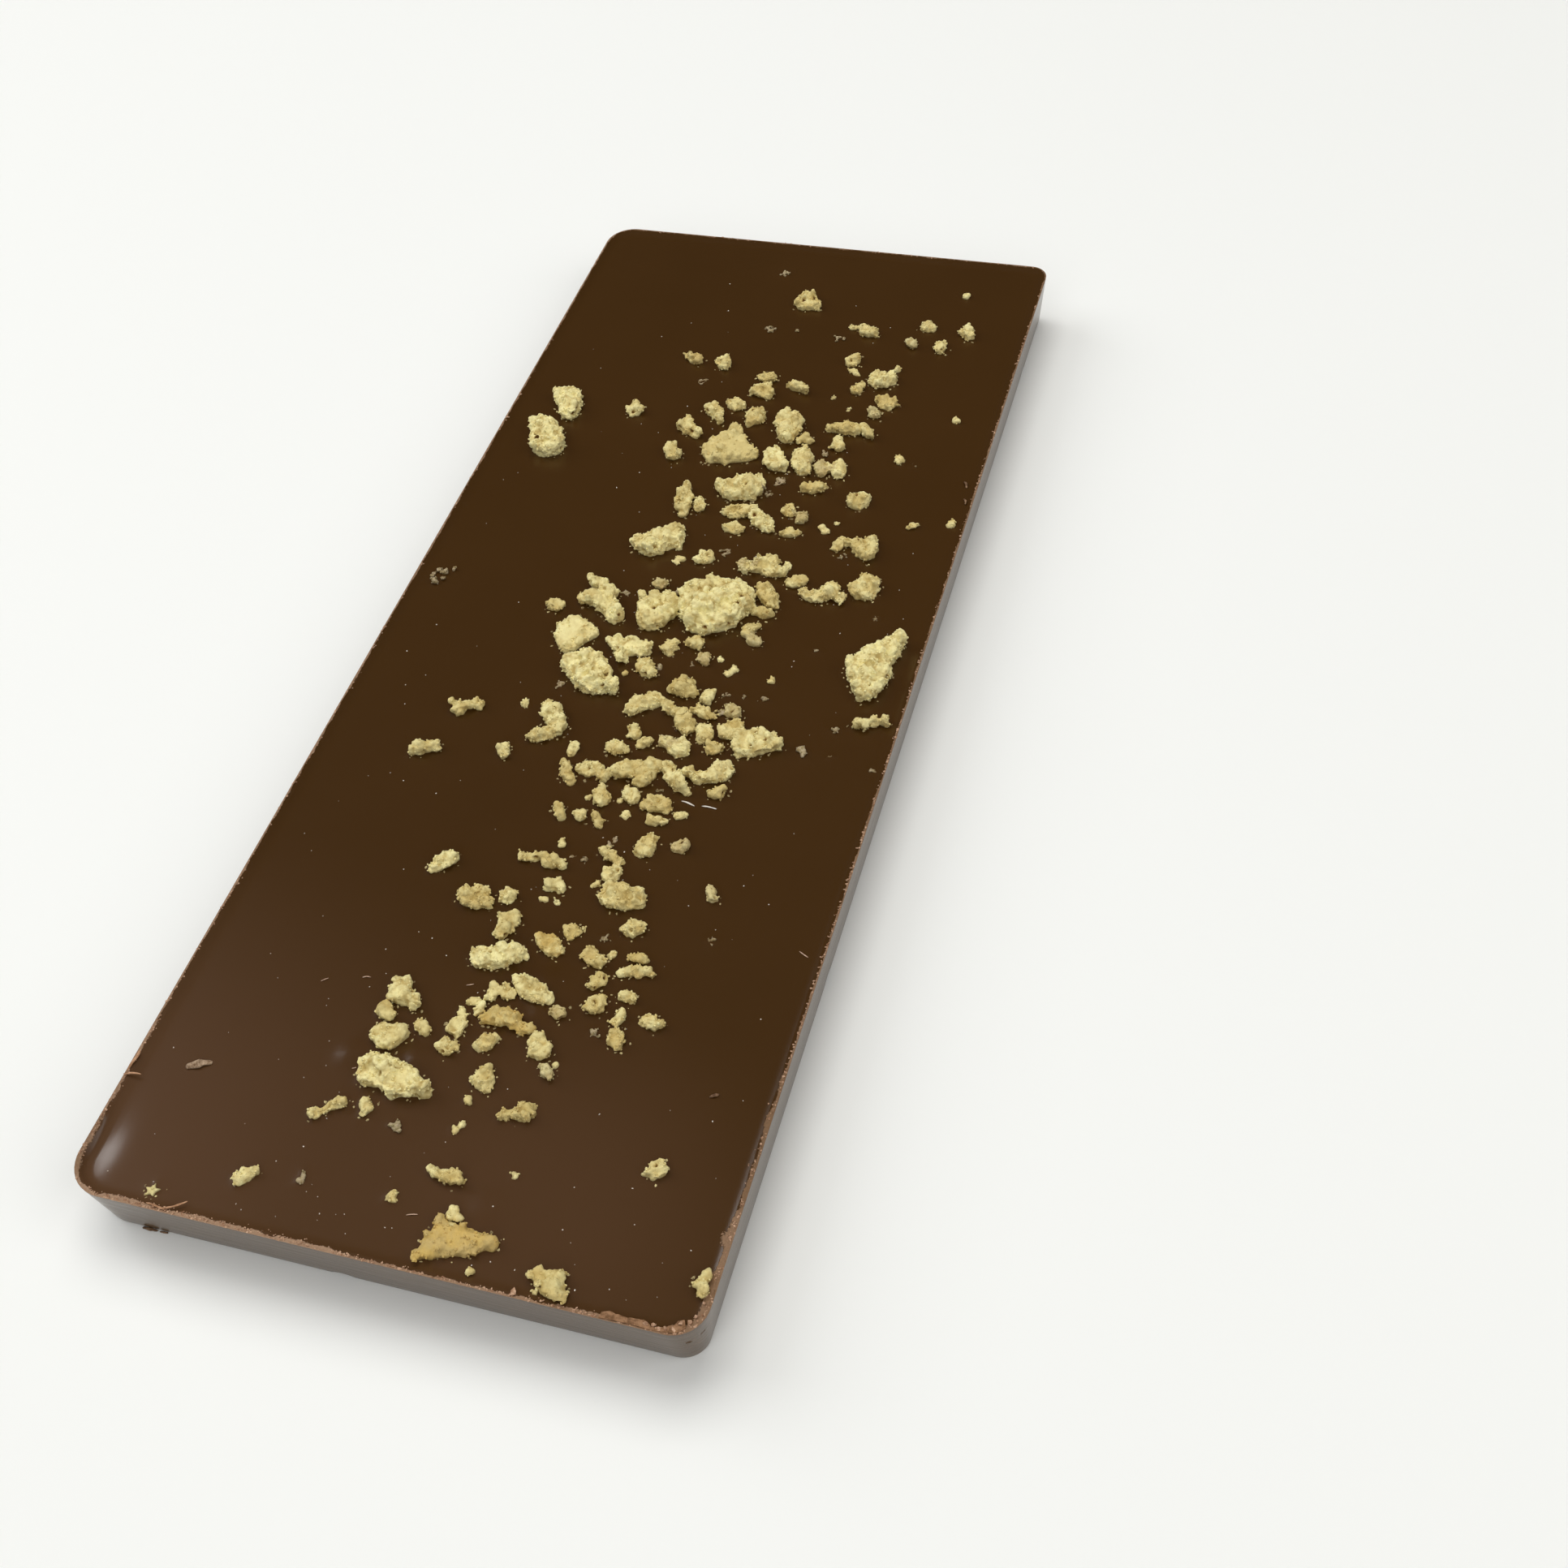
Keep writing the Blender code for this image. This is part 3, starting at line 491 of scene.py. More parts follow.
# Small ones: x, y, length, width in mm, and turn in degrees
smallFlakes = (
    (17.4, 60.0, 2.2, 1.7, 0), (16.1, 56.6, 2.1, 1.7, -60), (19.9, 56.2, 2.4, 1.8, 80),
    (9.9, 51.8, 2.2, 1.9, 70), (11.7, 46.6, 2.3, 1.4, 65), (-6.1, 48.5, 2.4, 1.6, -50),
    (0.1, 46.9, 2.3, 2.0, 80), (15.0, 42.3, 2.0, 1.6, -50), (-7.1, 30.8, 2.6, 1.9, -60),
    (7.9, 36.0, 2.2, 1.6, -10), (11.4, 31.1, 2.4, 2.1, 80), (13.4, 31.4, 2.9, 2.1, -60),
    (15.0, 38.7, 2.2, 1.4, -35), (12.1, 35.8, 2.4, 1.4, -65), (-14.3, 37.6, 2.2, 1.9, 60),
    (-1.1, 22.5, 2.4, 1.4, -75), (4.0, 19.3, 2.5, 1.5, -10), (9.5, 23.5, 2.1, 1.7, 80),
    (11.2, 22.7, 1.8, 1.6, 60), (10.6, 19.8, 2.6, 1.1, 20), (16.7, 19.0, 2.2, 1.4, 70),
    (2.2, 13.8, 2.2, 1.8, 20), (7.2, 13.6, 2.2, 1.6, -70), (13.7, 12.2, 2.8, 1.4, 25),
    (-1.4, 9.0, 2.0, 1.6, 30), (11.2, 6.7, 2.8, 1.5, -5), (10.6, 4.0, 2.4, 1.8, 60),
    (11.6, 2.4, 1.9, 1.5, -60), (5.4, 0.8, 2.1, 1.5, 15), (2.9, -0.4, 2.1, 1.6, 70),
    (7.0, -1.2, 2.0, 1.5, -55), (-8.9, 5.0, 1.8, 1.4, 10), (-12.1, 3.4, 2.1, 1.7, -20),
    (9.1, -6.7, 2.1, 1.6, 70), (9.2, -8.9, 2.8, 1.3, -15), (12.3, -8.0, 2.2, 1.5, -40),
    (10.3, -11.6, 2.4, 2.0, -60), (6.8, -13.5, 1.8, 1.4, 20), (11.9, -13.4, 2.1, 1.6, 10),
    (3.0, -12.9, 1.8, 1.5, -50), (2.0, -15.4, 2.6, 1.7, 0), (4.5, -14.2, 2.0, 1.2, 40),
    (-9.7, -18.2, 2.0, 1.4, -75), (-2.1, -19.6, 2.9, 1.5, -60), (14.0, -19.0, 2.2, 1.2, 45),
    (2.6, -22.0, 2.6, 2.0, -50), (5.6, -21.4, 2.4, 1.8, -40), (-1.0, -24.7, 2.7, 1.2, -60),
    (1.2, -24.7, 1.7, 1.2, -15), (3.1, -24.9, 2.3, 1.4, -60), (9.1, -23.9, 2.3, 1.1, 15),
    (12.6, -26.4, 2.2, 1.4, 45), (5.9, -29.1, 3.1, 1.1, -25), (7.0, -31.1, 2.3, 1.9, 60),
    (1.9, -33.7, 2.3, 1.5, 0), (-2.2, -36.0, 2.0, 1.6, 30), (17.3, -31.4, 2.0, 1.2, -60),
    (5.5, -38.6, 1.6, 1.5, 0), (11.3, -36.9, 2.4, 2.0, 50), (8.6, -41.1, 3.0, 1.6, -35),
    (9.8, -43.5, 2.1, 1.6, 50), (10.6, -46.0, 2.5, 2.0, 50), (13.2, -44.5, 1.9, 1.3, 0),
    (13.1, -46.8, 2.0, 1.2, 85), (16.4, -46.6, 2.4, 1.4, -5), (13.7, -49.1, 2.1, 1.8, -60),
    (1.9, -46.5, 1.8, 1.6, 0), (0.5, -46.8, 1.9, 1.1, 80), (7.4, -47.7, 1.6, 1.4, 0),
    (-1.3, -51.1, 2.3, 1.9, 70), (-1.4, -53.5, 2.3, 1.7, 10), (1.9, -52.2, 2.3, 1.9, 30),
    (-4.5, -52.0, 2.0, 1.4, -30), (-8.5, -51.2, 2.2, 1.4, -25), (8.6, -53.8, 1.9, 1.3, -25),
    (-6.2, -61.0, 2.1, 1.5, 85), (11.8, -41.9, 1.3, 0.9, 20), (12.8, -41.7, 1.5, 1.0, 10),
    (14.1, -41.4, 1.3, 0.8, 10), (12.8, -40.2, 1.9, 0.9, 0), (21.7, -61.0, 2.3, 1.7, 20),
    (-13.9, -69.9, 2.4, 1.5, 40),
)

# Crumbs: x, y, breadth in mm, and 1 for one that the chocolate has run over
crumbs = (
    (8.3, 58.6, 1.3, 0), (20.8, 67.5, 1.6, 0), (6.8, 56.2, 1.3, 1), (15.7, 51.2, 1.6, 0),
    (24.9, 42.9, 1.5, 0), (14.3, 21.1, 1.6, 0), (-0.7, 13.0, 1.5, 0), (11.9, 14.6, 1.7, 0),
    (28.3, 25.0, 1.6, 0), (24.1, 23.7, 1.5, 0), (20.0, 34.7, 1.6, 0), (10.6, -2.1, 1.6, 0),
    (-2.7, -16.4, 1.8, 0), (11.2, -22.5, 1.6, 0), (5.7, -23.7, 1.4, 0), (0.6, -28.7, 1.6, 0),
    (-1.1, -48.0, 1.6, 0), (-3.0, -62.0, 1.5, 1), (-0.3, -68.8, 1.5, 0), (5.8, -68.9, 1.9, 0),
    (-3.7, 68.4, 1.2, 1), (-2.3, 56.6, 1.2, 1), (0.9, 57.0, 1.0, 1), (10.6, 49.9, 1.6, 0),
    (-7.9, 44.9, 1.3, 1), (9.2, 44.7, 0.9, 0), (11.6, 42.8, 1.0, 0), (15.6, 22.6, 0.9, 0),
    (21.7, 34.2, 0.7, 1), (4.4, 15.6, 1.3, 1), (8.8, -0.9, 1.2, 0), (-0.8, -5.0, 0.9, 0),
    (2.7, -3.3, 1.1, 1), (10.9, -5.7, 1.1, 1), (12.8, -5.6, 0.7, 1), (15.1, -2.7, 1.3, 0),
    (15.0, -5.4, 0.8, 1), (20.9, -11.9, 1.3, 1), (23.8, -11.7, 0.7, 1), (23.6, -8.1, 0.9, 1),
    (28.7, -12.8, 0.9, 1), (-10.1, -11.3, 1.6, 0), (5.7, -27.2, 1.3, 1), (5.8, -32.7, 1.1, 0),
    (1.3, -35.4, 1.2, 0), (2.6, -35.5, 1.2, 0), (8.7, -38.4, 1.0, 1), (6.4, -38.0, 1.0, 0),
    (10.1, -40.2, 1.3, 0), (18.9, -36.5, 0.9, 1), (11.3, -48.8, 1.1, 1), (0.1, -48.8, 1.6, 0),
    (-1.6, -49.5, 1.4, 0), (2.6, -58.2, 1.3, 0), (2.6, -61.3, 1.0, 0), (3.1, -60.6, 1.1, 0),
    (9.6, -64.3, 1.0, 0), (-8.8, -68.8, 1.2, 1), (9.3, -73.6, 1.2, 0), (-26.8, 5.7, 2.2, 1),
    (-2.9, 6.9, 1.4, 0), (9.2, 59.0, 1.4, 0), (9.1, -52.9, 0.9, 0), (6.0, -2.2, 0.8, 1),
    (3.6, -30.0, 0.9, 1), (2.2, -29.8, 0.8, 1), (8.0, -19.9, 0.9, 1), (6.9, 28.4, 1.5, 1),
    (6.1, 26.1, 1.1, 1), (17.4, 17.3, 1.0, 1), (-4.9, 6.9, 1.0, 1), (1.2, 8.2, 1.3, 1),
    (-7.2, -7.8, 1.0, 1), (10.8, 34.3, 1.2, 1), (18.5, 2.6, 0.6, 1), (23.7, 8.5, 0.8, 1),
    (15.2, -73.9, 1.0, 0), (1.3, -22.2, 1.1, 0), (4.6, -21.9, 1.1, 0), (11.3, -8.1, 1.1, 1),
)


def runsOf(corners):
    return list(zip(corners, corners[1:] + corners[:1]))


def isInside(place, corners):
    inside = False
    for start, end in runsOf(corners):
        if (start.y > place.y) != (end.y > place.y):
            inside ^= place.x < start.x + (end.x - start.x) * (place.y - start.y) / (end.y - start.y)
    return inside


def wayToSide(place, corners):
    return min(gapTo(place, start, end) for start, end in runsOf(corners))


def spanOf(corners):  # least and greatest x and y
    return [[edge(corner[axis] for corner in corners) for axis in range(2)] for edge in (min, max)]


def breadthOf(corners):  # mean breadth in mm
    lows, highs = spanOf(corners)
    return math.sqrt((highs[0] - lows[0]) * (highs[1] - lows[1])) / mm


def smallOutline(x, y, length, width, turn, draw):
    count = draw.randint(*maple["smallCorners"])
    corners = []
    for index in range(count):
        stray = draw.uniform(-maple["smallUneven"], maple["smallUneven"])
        angle = 2 * math.pi * (index + stray) / count
        reach = draw.uniform(*maple["smallReach"]) / 2
        corner = Vector((math.cos(angle) * length * reach, math.sin(angle) * width * reach, 0))
        corner.rotate(Matrix.Rotation(math.radians(turn), 3, "Z"))
        corners.append((corner + Vector((x, y, 0))) * mm)
    return corners


def addPlate(bm, corners, height):
    # The body of a flake: its outline, drawn in a little, with a worn crown
    area = sum(start.cross(end).z for start, end in runsOf(corners))
    down = Vector((0, 0, -math.copysign(1, area)))
    inward = [(end - start).normalized().cross(down) for start, end in runsOf(corners)]
    foot, breadth = [], breadthOf(corners) * mm
    for index, corner in enumerate(corners):
        drawnIn = corner + (inward[index] + inward[index - 1]) * maple["drawnIn"]
        foot.append(bm.verts.new(drawnIn - Vector((0, 0, maple["sunk"]))))
    grown = bmesh.ops.extrude_face_region(bm, geom=[bm.faces.new(foot)])
    crown = pick(grown, bmesh.types.BMFace)[0]
    level = -maple["sunk"]
    for inset, share in maple["crown"]:
        if inset:
            bmesh.ops.inset_region(bm, faces=[crown], thickness=inset * breadth, use_even_offset=False)
        bmesh.ops.translate(bm, vec=(0, 0, share * height - level), verts=crown.verts)
        level = share * height
    bmesh.ops.recalc_face_normals(bm, faces=bm.faces[:])
    return inward


def roughFlake(corners, draw, clodShare):
    # One flake before its crystals: a plate, and clods of sugar over its sides and top
    breadth = breadthOf(corners)
    fullness = maple["least"] + (1 - maple["least"]) * clodShare
    height = (maple["baseHeight"] + maple["heightShare"] * breadth) * fullness * mm
    radii = [radius + maple["clodGrowth"] * breadth for radius in maple["clod"]]
    bm = bmesh.new()
    inward = addPlate(bm, corners, height)
    anyClods = clodShare > 0
    spots = []
    for (start, end), way in zip(runsOf(corners), inward):
        squares = (end - start).length * height / mm**2
        for index in range(round(squares * maple["sideClods"] * clodShare + draw.random() * anyClods)):
            radius = draw.uniform(*radii) * mm
            place = start.lerp(end, draw.random()) + way * radius * draw.uniform(*maple["sideOut"])
            place.z = height * draw.uniform(*maple["sideLevel"])
            spots.append((place, radius))
    lows, highs = spanOf(corners)
    squares = (highs[0] - lows[0]) * (highs[1] - lows[1]) / mm**2
    edgeLevel, climb, slope = maple["dome"]
    for index in range(round(squares * maple["topClods"] * clodShare + maple["topLeast"] * anyClods)):
        place = Vector((draw.uniform(lows[0], highs[0]), draw.uniform(lows[1], highs[1]), 0))
        depth = wayToSide(place, corners)
        if isInside(place, corners) and depth > maple["topMargin"]:
            radius = draw.uniform(*radii) * mm
            rise = smoothStep(0, slope * breadth * mm, depth)
            place.z = height * (edgeLevel + climb * rise) - radius * draw.uniform(*maple["topSunk"])
            spots.append((place, radius))
    for place, radius in spots:
        reaches = [radius * draw.uniform(*maple["clodStretch"]) for axis in range(3)]
        addLump(bm, place, reaches, draw.uniform(*lump["turn"]), draw, maple["lumpUnevenness"])
    bmesh.ops.translate(bm, vec=(0, 0, poolLevel), verts=bm.verts)
    return bm


def roughCrumb(x, y, breadth, covered, draw):
    fewest, most, more = crumb["lumps"]
    thin, thick, thinner = crumb["lump"]
    spread, wider = crumb["spread"]
    lowest, higher = crumb["level"]
    along, across, upright = crumb["stretch"]
    bm = bmesh.new()
    for index in range(draw.randint(fewest, most) + more * covered):
        radius = breadth * draw.uniform(thin, thick) * (1 - thinner * covered) * mm
        off = Vector((draw.gauss(0, 1), draw.gauss(0, 1), 0)) * breadth * (spread + wider * covered) * mm
        off.z = breadth * (lowest + higher * draw.random()) * mm
        radii = (radius * draw.uniform(*along), radius * draw.uniform(*across), radius * upright)
        addLump(bm, off, radii, draw.uniform(*lump["turn"]), draw, maple["lumpUnevenness"])
    bmesh.ops.translate(bm, vec=(x * mm, y * mm, poolLevel), verts=bm.verts)
    return bm


def joinParts(parts, name, material):
    total = bmesh.new()
    for bm in parts:
        part = bpy.data.meshes.new("part")
        bm.to_mesh(part)
        bm.free()
        total.from_mesh(part)
        bpy.data.meshes.remove(part)
    return takeMesh(name, total, material)


def skinOver(piece, voxel):  # everything in the piece becomes one closed skin
    skin = piece.modifiers.new("skin", "REMESH")
    skin.mode = "VOXEL"
    skin.voxel_size = voxel
    skin.use_smooth_shade = True
    settle(piece)


def nearestCell(point, size):  # distance to the nearest of a field of random points, in shares of size
    return noise.voronoi(point / size)[0][0]


def gapDepth(away, first, last, darkness):
    return smoothStep(first, last, away) * darkness


def crystallise(piece, factTree, facts):
    # Clusters of grains, beads and pits, pushed out along the skin, and the values its colours read
    mesh = piece.data
    patchSize, patchDepth = maple["mottle"]
    beadShift = Vector(maple["beadShift"])
    values = np.zeros((len(mesh.vertices), 4))
    moved = points(mesh).astype(float)
    for vert in mesh.vertices:
        point = vert.co.copy()
        tone, roughness, drowned, warmth = facts[factTree.find((point.x, point.y, 0))[1]]
        tone += patchDepth * noise.noise(point / patchSize) * min(1.0, roughness * maple["mottleRelief"])
        knob = nearestCell(point, maple["knob"][0])
        bead = nearestCell(point + beadShift, maple["bead"][0])
        crystal = noise.noise(point / maple["crystal"][0])
        out = maple["knob"][1] * (maple["cellMiddle"] - 2 * knob)
        out += maple["bead"][1] * (maple["cellMiddle"] - 2 * bead)
        out += maple["crystal"][1] * crystal
        out += maple["swell"][1] * noise.noise(point / maple["swell"][0]) * max(0.0, vert.normal.z)
        distances, centres = noise.voronoi(point / maple["pit"][0])
        chance = noise.cell(centres[0] * maple["pitChoice"])
        hole = smoothStep(*maple["pitWall"], distances[0]) if chance > 1 - 2 * maple["pitChance"] else 0.0
        moved[vert.index] += np.array(vert.normal) * (out - hole * maple["pit"][1]) * roughness
        hollow = (gapDepth(knob, *maple["knobGap"]) + gapDepth(bead, *maple["beadGap"]) + hole) * roughness
        values[vert.index] = tone, min(hollow, maple["deepest"]), drowned, warmth
    mesh.vertices.foreach_set("co", moved.astype(np.float32).ravel())
    mesh.update()
    for name, column in zip(factNames, values.T):
        keepValues(mesh, name, column)


def mapleMaterial():
    material, wire, coords = startMaterial("crystallised maple")
    tone, hollow, drowned, warmth = (reading(wire, name) for name in factNames)
    speck = grain(wire, coords, 0.35 * mm, 3, 0.6)
    patch = grain(wire, coords, 1.7 * mm, 2, 0.5)
    height = wire.node("ShaderNodeSeparateXYZ", links={"Vector": coords}, out="Z")
    cream = (tone * 0.5 + patch * 1.1 - 0.35).rise(0, 1).blend(maplePaints["pale"], maplePaints["cream"])
    deep = tone.rise(1.2, 2.0).blend(cream, maplePaints["deep"])
    warm = ((patch + speck * 0.4).rise(0.55, 0.9) * warmth).blend(deep, maplePaints["warm"])
    # Painted shade: the flakes are darkened in the gaps between clusters of grains and in pits, most where
    # they are deepest
    creaseShade = (hollow * 0.9 + speck * 0.3 - 0.1).rise(0.05, 0.9).blend(warm, maplePaints["creaseShade"])
    shaded = (hollow + speck * 0.2).rise(0.75, 1.3).blend(creaseShade, maplePaints["shade"])
    foot = 1 - (height / mm - (poolLevel / mm) + (speck - 0.5) * 0.5).rise(0.0, 0.4)
    film = (speck + patch * 0.2).rise(0.45, 0.7).blend(*maplePaints["film"])
    covered = (drowned * (1.0 + (speck - 0.5) * 0.6)).blend(shaded, film)
    colour = (foot * 0.6).blend(covered, maplePaints["foot"])
    sockets = {"Base Color": colour, "Roughness": 0.62 + hollow * 0.2, "Specular IOR Level": 0.35}
    finishMaterial(wire, sockets, grain(wire, coords, 0.2 * mm, 4, 0.7), 0.13 * mm)
    return material


def makeMaple():
    material = mapleMaterial()
    draw = random.Random(maple["seed"])
    sorts = {name: [] for name in (*maple["bands"], "mapleFlakesSmall", "mapleCrumbs")}
    facts, marks = [], []
    for outline in largeFlakes:
        first = outline[0]
        corners = [Vector((*corner, 0)) * mm for corner in outline]
        smooth, orange = first in maple["smooth"], first in maple["orange"]
        band = next(name for name, least in maple["bands"].items() if first[1] > least)
        share = 0.0 if first in maple["plain"] else maple["smoothClods"] if smooth else 1.0
        sorts[band].append(roughFlake(corners, draw, share))
        warmth = 1.0 if orange else draw.uniform(*maple["warmth"])
        relief = maple["smoothRelief"] * (1 + orange) if smooth else 1.0
        relief = relief if share else maple["plainRelief"]
        tone = draw.random() + maple["amber"].get(first, 0)
        tone -= maple["paler"] * (breadthOf(corners) - maple["toneBreadth"])
        facts.append((tone, relief, 0.0, warmth))
        marks.append(corners)
    for row in smallFlakes:
        corners = smallOutline(*row, draw)
        sorts["mapleFlakesSmall"].append(roughFlake(corners, draw, 1.0))
        tone = draw.random() + maple["smallTone"]
        drowned = draw.choice(maple["smallDrowned"])
        facts.append((tone, maple["smallRelief"], drowned, draw.uniform(*maple["smallWarmth"])))
        marks.append(corners)
    for x, y, breadth, covered in crumbs:
        sorts["mapleCrumbs"].append(roughCrumb(x, y, breadth, covered, draw))
        drowned = crumb["drowned"] * covered
        facts.append((draw.random(), crumb["relief"], drowned, draw.uniform(*crumb["warmth"])))
        marks.append([Vector((x, y, 0)) * mm])
    places, numbers = [], []
    for index, corners in enumerate(marks):
        places += corners + [sum(corners, Vector()) / len(corners)]
        numbers += [index] * (len(corners) + 1)
    tree = treeOf(places, numbers)
    pieces = []
    for name, rough in sorts.items():
        piece = joinParts(rough, name, material)
        skinOver(piece, maple["crumbVoxel"] if name == "mapleCrumbs" else maple["voxel"])
        crystallise(piece, tree, facts)
        pieces.append(piece)
        onRoot(piece, True)
    return pieces, [corners for corners in marks if len(corners) > 1], material


def makeGrains(pieces, material):
    # Grains that stand proud of the skins
    draw = random.Random(maple["seed"] + 1)
    parts, facts = [], []
    for piece in pieces:
        columns = {}
        for name in ("tone", "drowned", "warmth"):
            columns[name] = np.empty(len(piece.data.vertices), np.float32)
            piece.data.attributes[name].data.foreach_get("value", columns[name])
        bare = [vert for vert in piece.data.vertices if vert.co.z > poolLevel + mapleGrain["least"]]
        chosen = draw.sample(bare, round(len(bare) * mapleGrain["share"]))
        for start in range(0, len(chosen), mapleGrain["batch"]):
            bm = bmesh.new()
            for vert in chosen[start:start + mapleGrain["batch"]]:
                radius = draw.uniform(*mapleGrain["radius"]) * mm
                radii = [radius * draw.uniform(*mapleGrain["stretch"]) for axis in range(3)]
                centre = vert.co + vert.normal * radius * draw.uniform(*mapleGrain["proud"])
                turn = draw.uniform(*lump["turn"])
                made = addLump(bm, centre, radii, turn, draw, mapleGrain["unevenness"], steps=1)
                tone, drowned, warmth = (columns[name][vert.index] for name in columns)
                tone += draw.uniform(-mapleGrain["toneSpread"], mapleGrain["toneSpread"])
                facts += [(tone, 0.0, drowned, warmth)] * len(made)
            parts.append(bm)
    piece = joinParts(parts, "mapleGrains", material)
    for name, column in zip(factNames, np.array(facts).T):
        keepValues(piece.data, name, column)
    piece.data.shade_smooth()
    onRoot(piece, True)


flakePieces, flakeOutlines, flakeMaterial = makeMaple()
makeGrains(flakePieces, flakeMaterial)
print("the maple flakes are set out")


# Chocolate bar

bar.update({
    "cell": 0.75 * mm,
    "cornerRows": 10,
    "pool": 1.6 * mm,  # from the rim's outer edge to where the pool lies level
    "rings": (1.4, 1.2, 1.0, 0.8, 0.6, 0.45, 0.3, 0.18, 0.08, 0.0),
    "rimWidth": 0.25 * mm,
    "rimWorn": 0.16 * mm,  # depth of the wear along it
    "wornInner": (1.6, 0.3 * mm),  # where it ends: a share of the rim's width, and how far in from the edge
    "wornOuter": (0.02 * mm, 0.2 * mm),
    "wornWaves": (0.7 * mm, 0.4, 3.0),  # size, evenness and seed
    "wallRows": (0.3, 0.8, 1.6, 2.8, 4.2, 5.5, 6.5),
    "footSteps": 4,
    "sharp": math.radians(40),  # the angle from which an edge stays sharp
    "waves": ((21 * mm, 0.05 * mm), (8 * mm, 0.014 * mm)),
    "calm": 4 * mm,  # how near the rim they die away
    "meniscus": (0.09 * mm, 0.3 * mm),  # height and reach of the chocolate drawn up round a flake
    "halo": (0.03 * mm, 1.5 * mm),
    "dip": (-29.0 * mm, -70.6 * mm, 1.8 * mm, 3.2 * mm, 0.36 * mm),  # middle, reach in x and y, and depth
    "dipEdge": (0.25 * mm, 0.9 * mm),
    "paintedGlow": ((-30, -75, 2, 46, 1.0), (12, -68, 4, 27, 0.57)),  # painted glow, paler spots of pool standing for stronger light there: place and radii in mm, share
    "foot": 0.12 * mm,  # a flake meets the pool within this of its level
    "fine": 0.95 * mm,  # cells this near a flake are cut smaller
    "grooveRadius": 1.6 * mm,
    "grooveDepth": 0.8 * mm,
    "grooveLip": 0.28 * mm,
    "grooveFlare": 0.22,
    "grooveSides": 32,
    "grooveStep": 2,  # degrees of a curved groove for each ring
    "pitUnevenness": 0.4,
    "pitSeed": 3,
    "scrapedLeast": (0.15, 0.5),  # the scraped band's least width in mm, and how ruddy it is there
    "scrapedFade": (4.5, 2.0),  # from where to where a stretch's band widens towards it, in mm
    "scrapedWaves": (1.7 * mm, 0.8, 9.0),  # size, depth and seed
    "farIn": 3 * mm,  # from here inwards the back is scraped the least
    "backDepth": 1 * mm,  # no place of the back lies further down
    "scrapedBack": (0.35, 1.5),  # where the band fades on the back, in shares of its width
    "scrapedWall": (0.05 * mm, 0.3 * mm),  # and how far down the wall
    "wallFinish": (0.1 * mm, 0.5 * mm),  # how far down the wall's own finish sets in
    "wallInset": (0.3 * mm, 0.2),  # how far in it reaches at the rim, and how much more for each step down
    "weld": 0.002 * mm,
})

barPaints = {
    "pool": (paint(61, 38, 9), paint(66, 42, 13)),
    # painted glow: the paler pool colour standing for stronger light near the front left
    "paintedGlow": paint(84, 58, 36),
    "wall": (paint(80, 62, 44), paint(100, 80, 58)),
    "pinkScrape": (paint(142, 112, 88), paint(190, 156, 127)),
    "brownScrape": (paint(88, 62, 36), paint(132, 100, 68)),
}

wearNames = ("wear", "ruddy", "wall")

# Swellings beside flakes: x, y, reach and height in mm
swellings = (
    (8.4, -67.6, 1.6, 0.31), (-10.0, -56.0, 1.3, 0.32), (5.2, -44.0, 1.3, 0.28),
    (5.6, -47.9, 1.2, 0.25), (-3.6, -55.0, 1.4, 0.3),
)

straightGrooves = (((-5.1, -79), (3, -26.5)), ((-14, -14.5), (-20, 79)), ((12, -30), (6, 79)))
curvedGrooves = (((33, 32), 66, 190, 275), ((38, 84), 24, 195, 262))  # centre, radius, from, to

# Pits in a wall: place and radii in mm
wallPits = (((28.6, -74.15, 4.3), (0.55, 0.22, 0.28)), ((29.5, -73.2, 4.6), (0.22, 0.4, 0.2)))

# Stretches of the rim: from and to in mm, the scraped band's width, scraps for each mm, and how ruddy it is
rimStretches = (
    ((-27, -75), (-5, -75), 0.5, 18, 0.1), ((-5, -75), (20, -75), 0.28, 13, 0.3),
    ((20, -75), (29, -75), 0.42, 14, 0.45), ((29.5, -74.5), (30, -66), 0.85, 9, 0.6),
    ((30, -66), (30, -52), 0.5, 8, 0.85), ((30, -52), (30, -20), 0.2, 6, 0.65),
    ((30, -20), (30, 62), 0.22, 6, 0.75), ((30, 62), (28, 75), 0.2, 3, 0.9),
    ((28, 75), (-30, 75), 0.16, 2, 0.8), ((-30, 74), (-30, -10), 0.17, 3, 0.4),
    ((-30, -10), (-30, -56), 0.2, 5, 0.3), ((-30, -56), (-30, -70), 0.3, 8, 0.25),
    ((-30, -70), (-27, -75), 0.42, 7, 0.5),
)


def rowEnd(side, row, rows, inset):
    # Where a row of cells ends at the left or right: place, and the way out from there
    near, far = bar["corners"][(side, -1)], bar["corners"][(side, 1)]
    steps = bar["cornerRows"]
    angle, radius, centreY = 0.0, near, -(bar["halfLength"] - near)
    if row < steps:
        angle = -(1 - row / steps) * math.pi / 2
    elif row > rows - steps:
        angle = (1 - (rows - row) / steps) * math.pi / 2
        radius, centreY = far, bar["halfLength"] - far
    else:
        share = (row - steps) / (rows - 2 * steps)
        y = (1 - share) * centreY + share * (bar["halfLength"] - far)
        return Vector((side * (bar["halfWidth"] - inset), y, 0)), Vector((side, 0, 0))
    out = Vector((side * math.cos(angle), math.sin(angle), 0))
    centre = Vector((side * (bar["halfWidth"] - radius), centreY, 0))
    return centre + out * (radius - inset), out


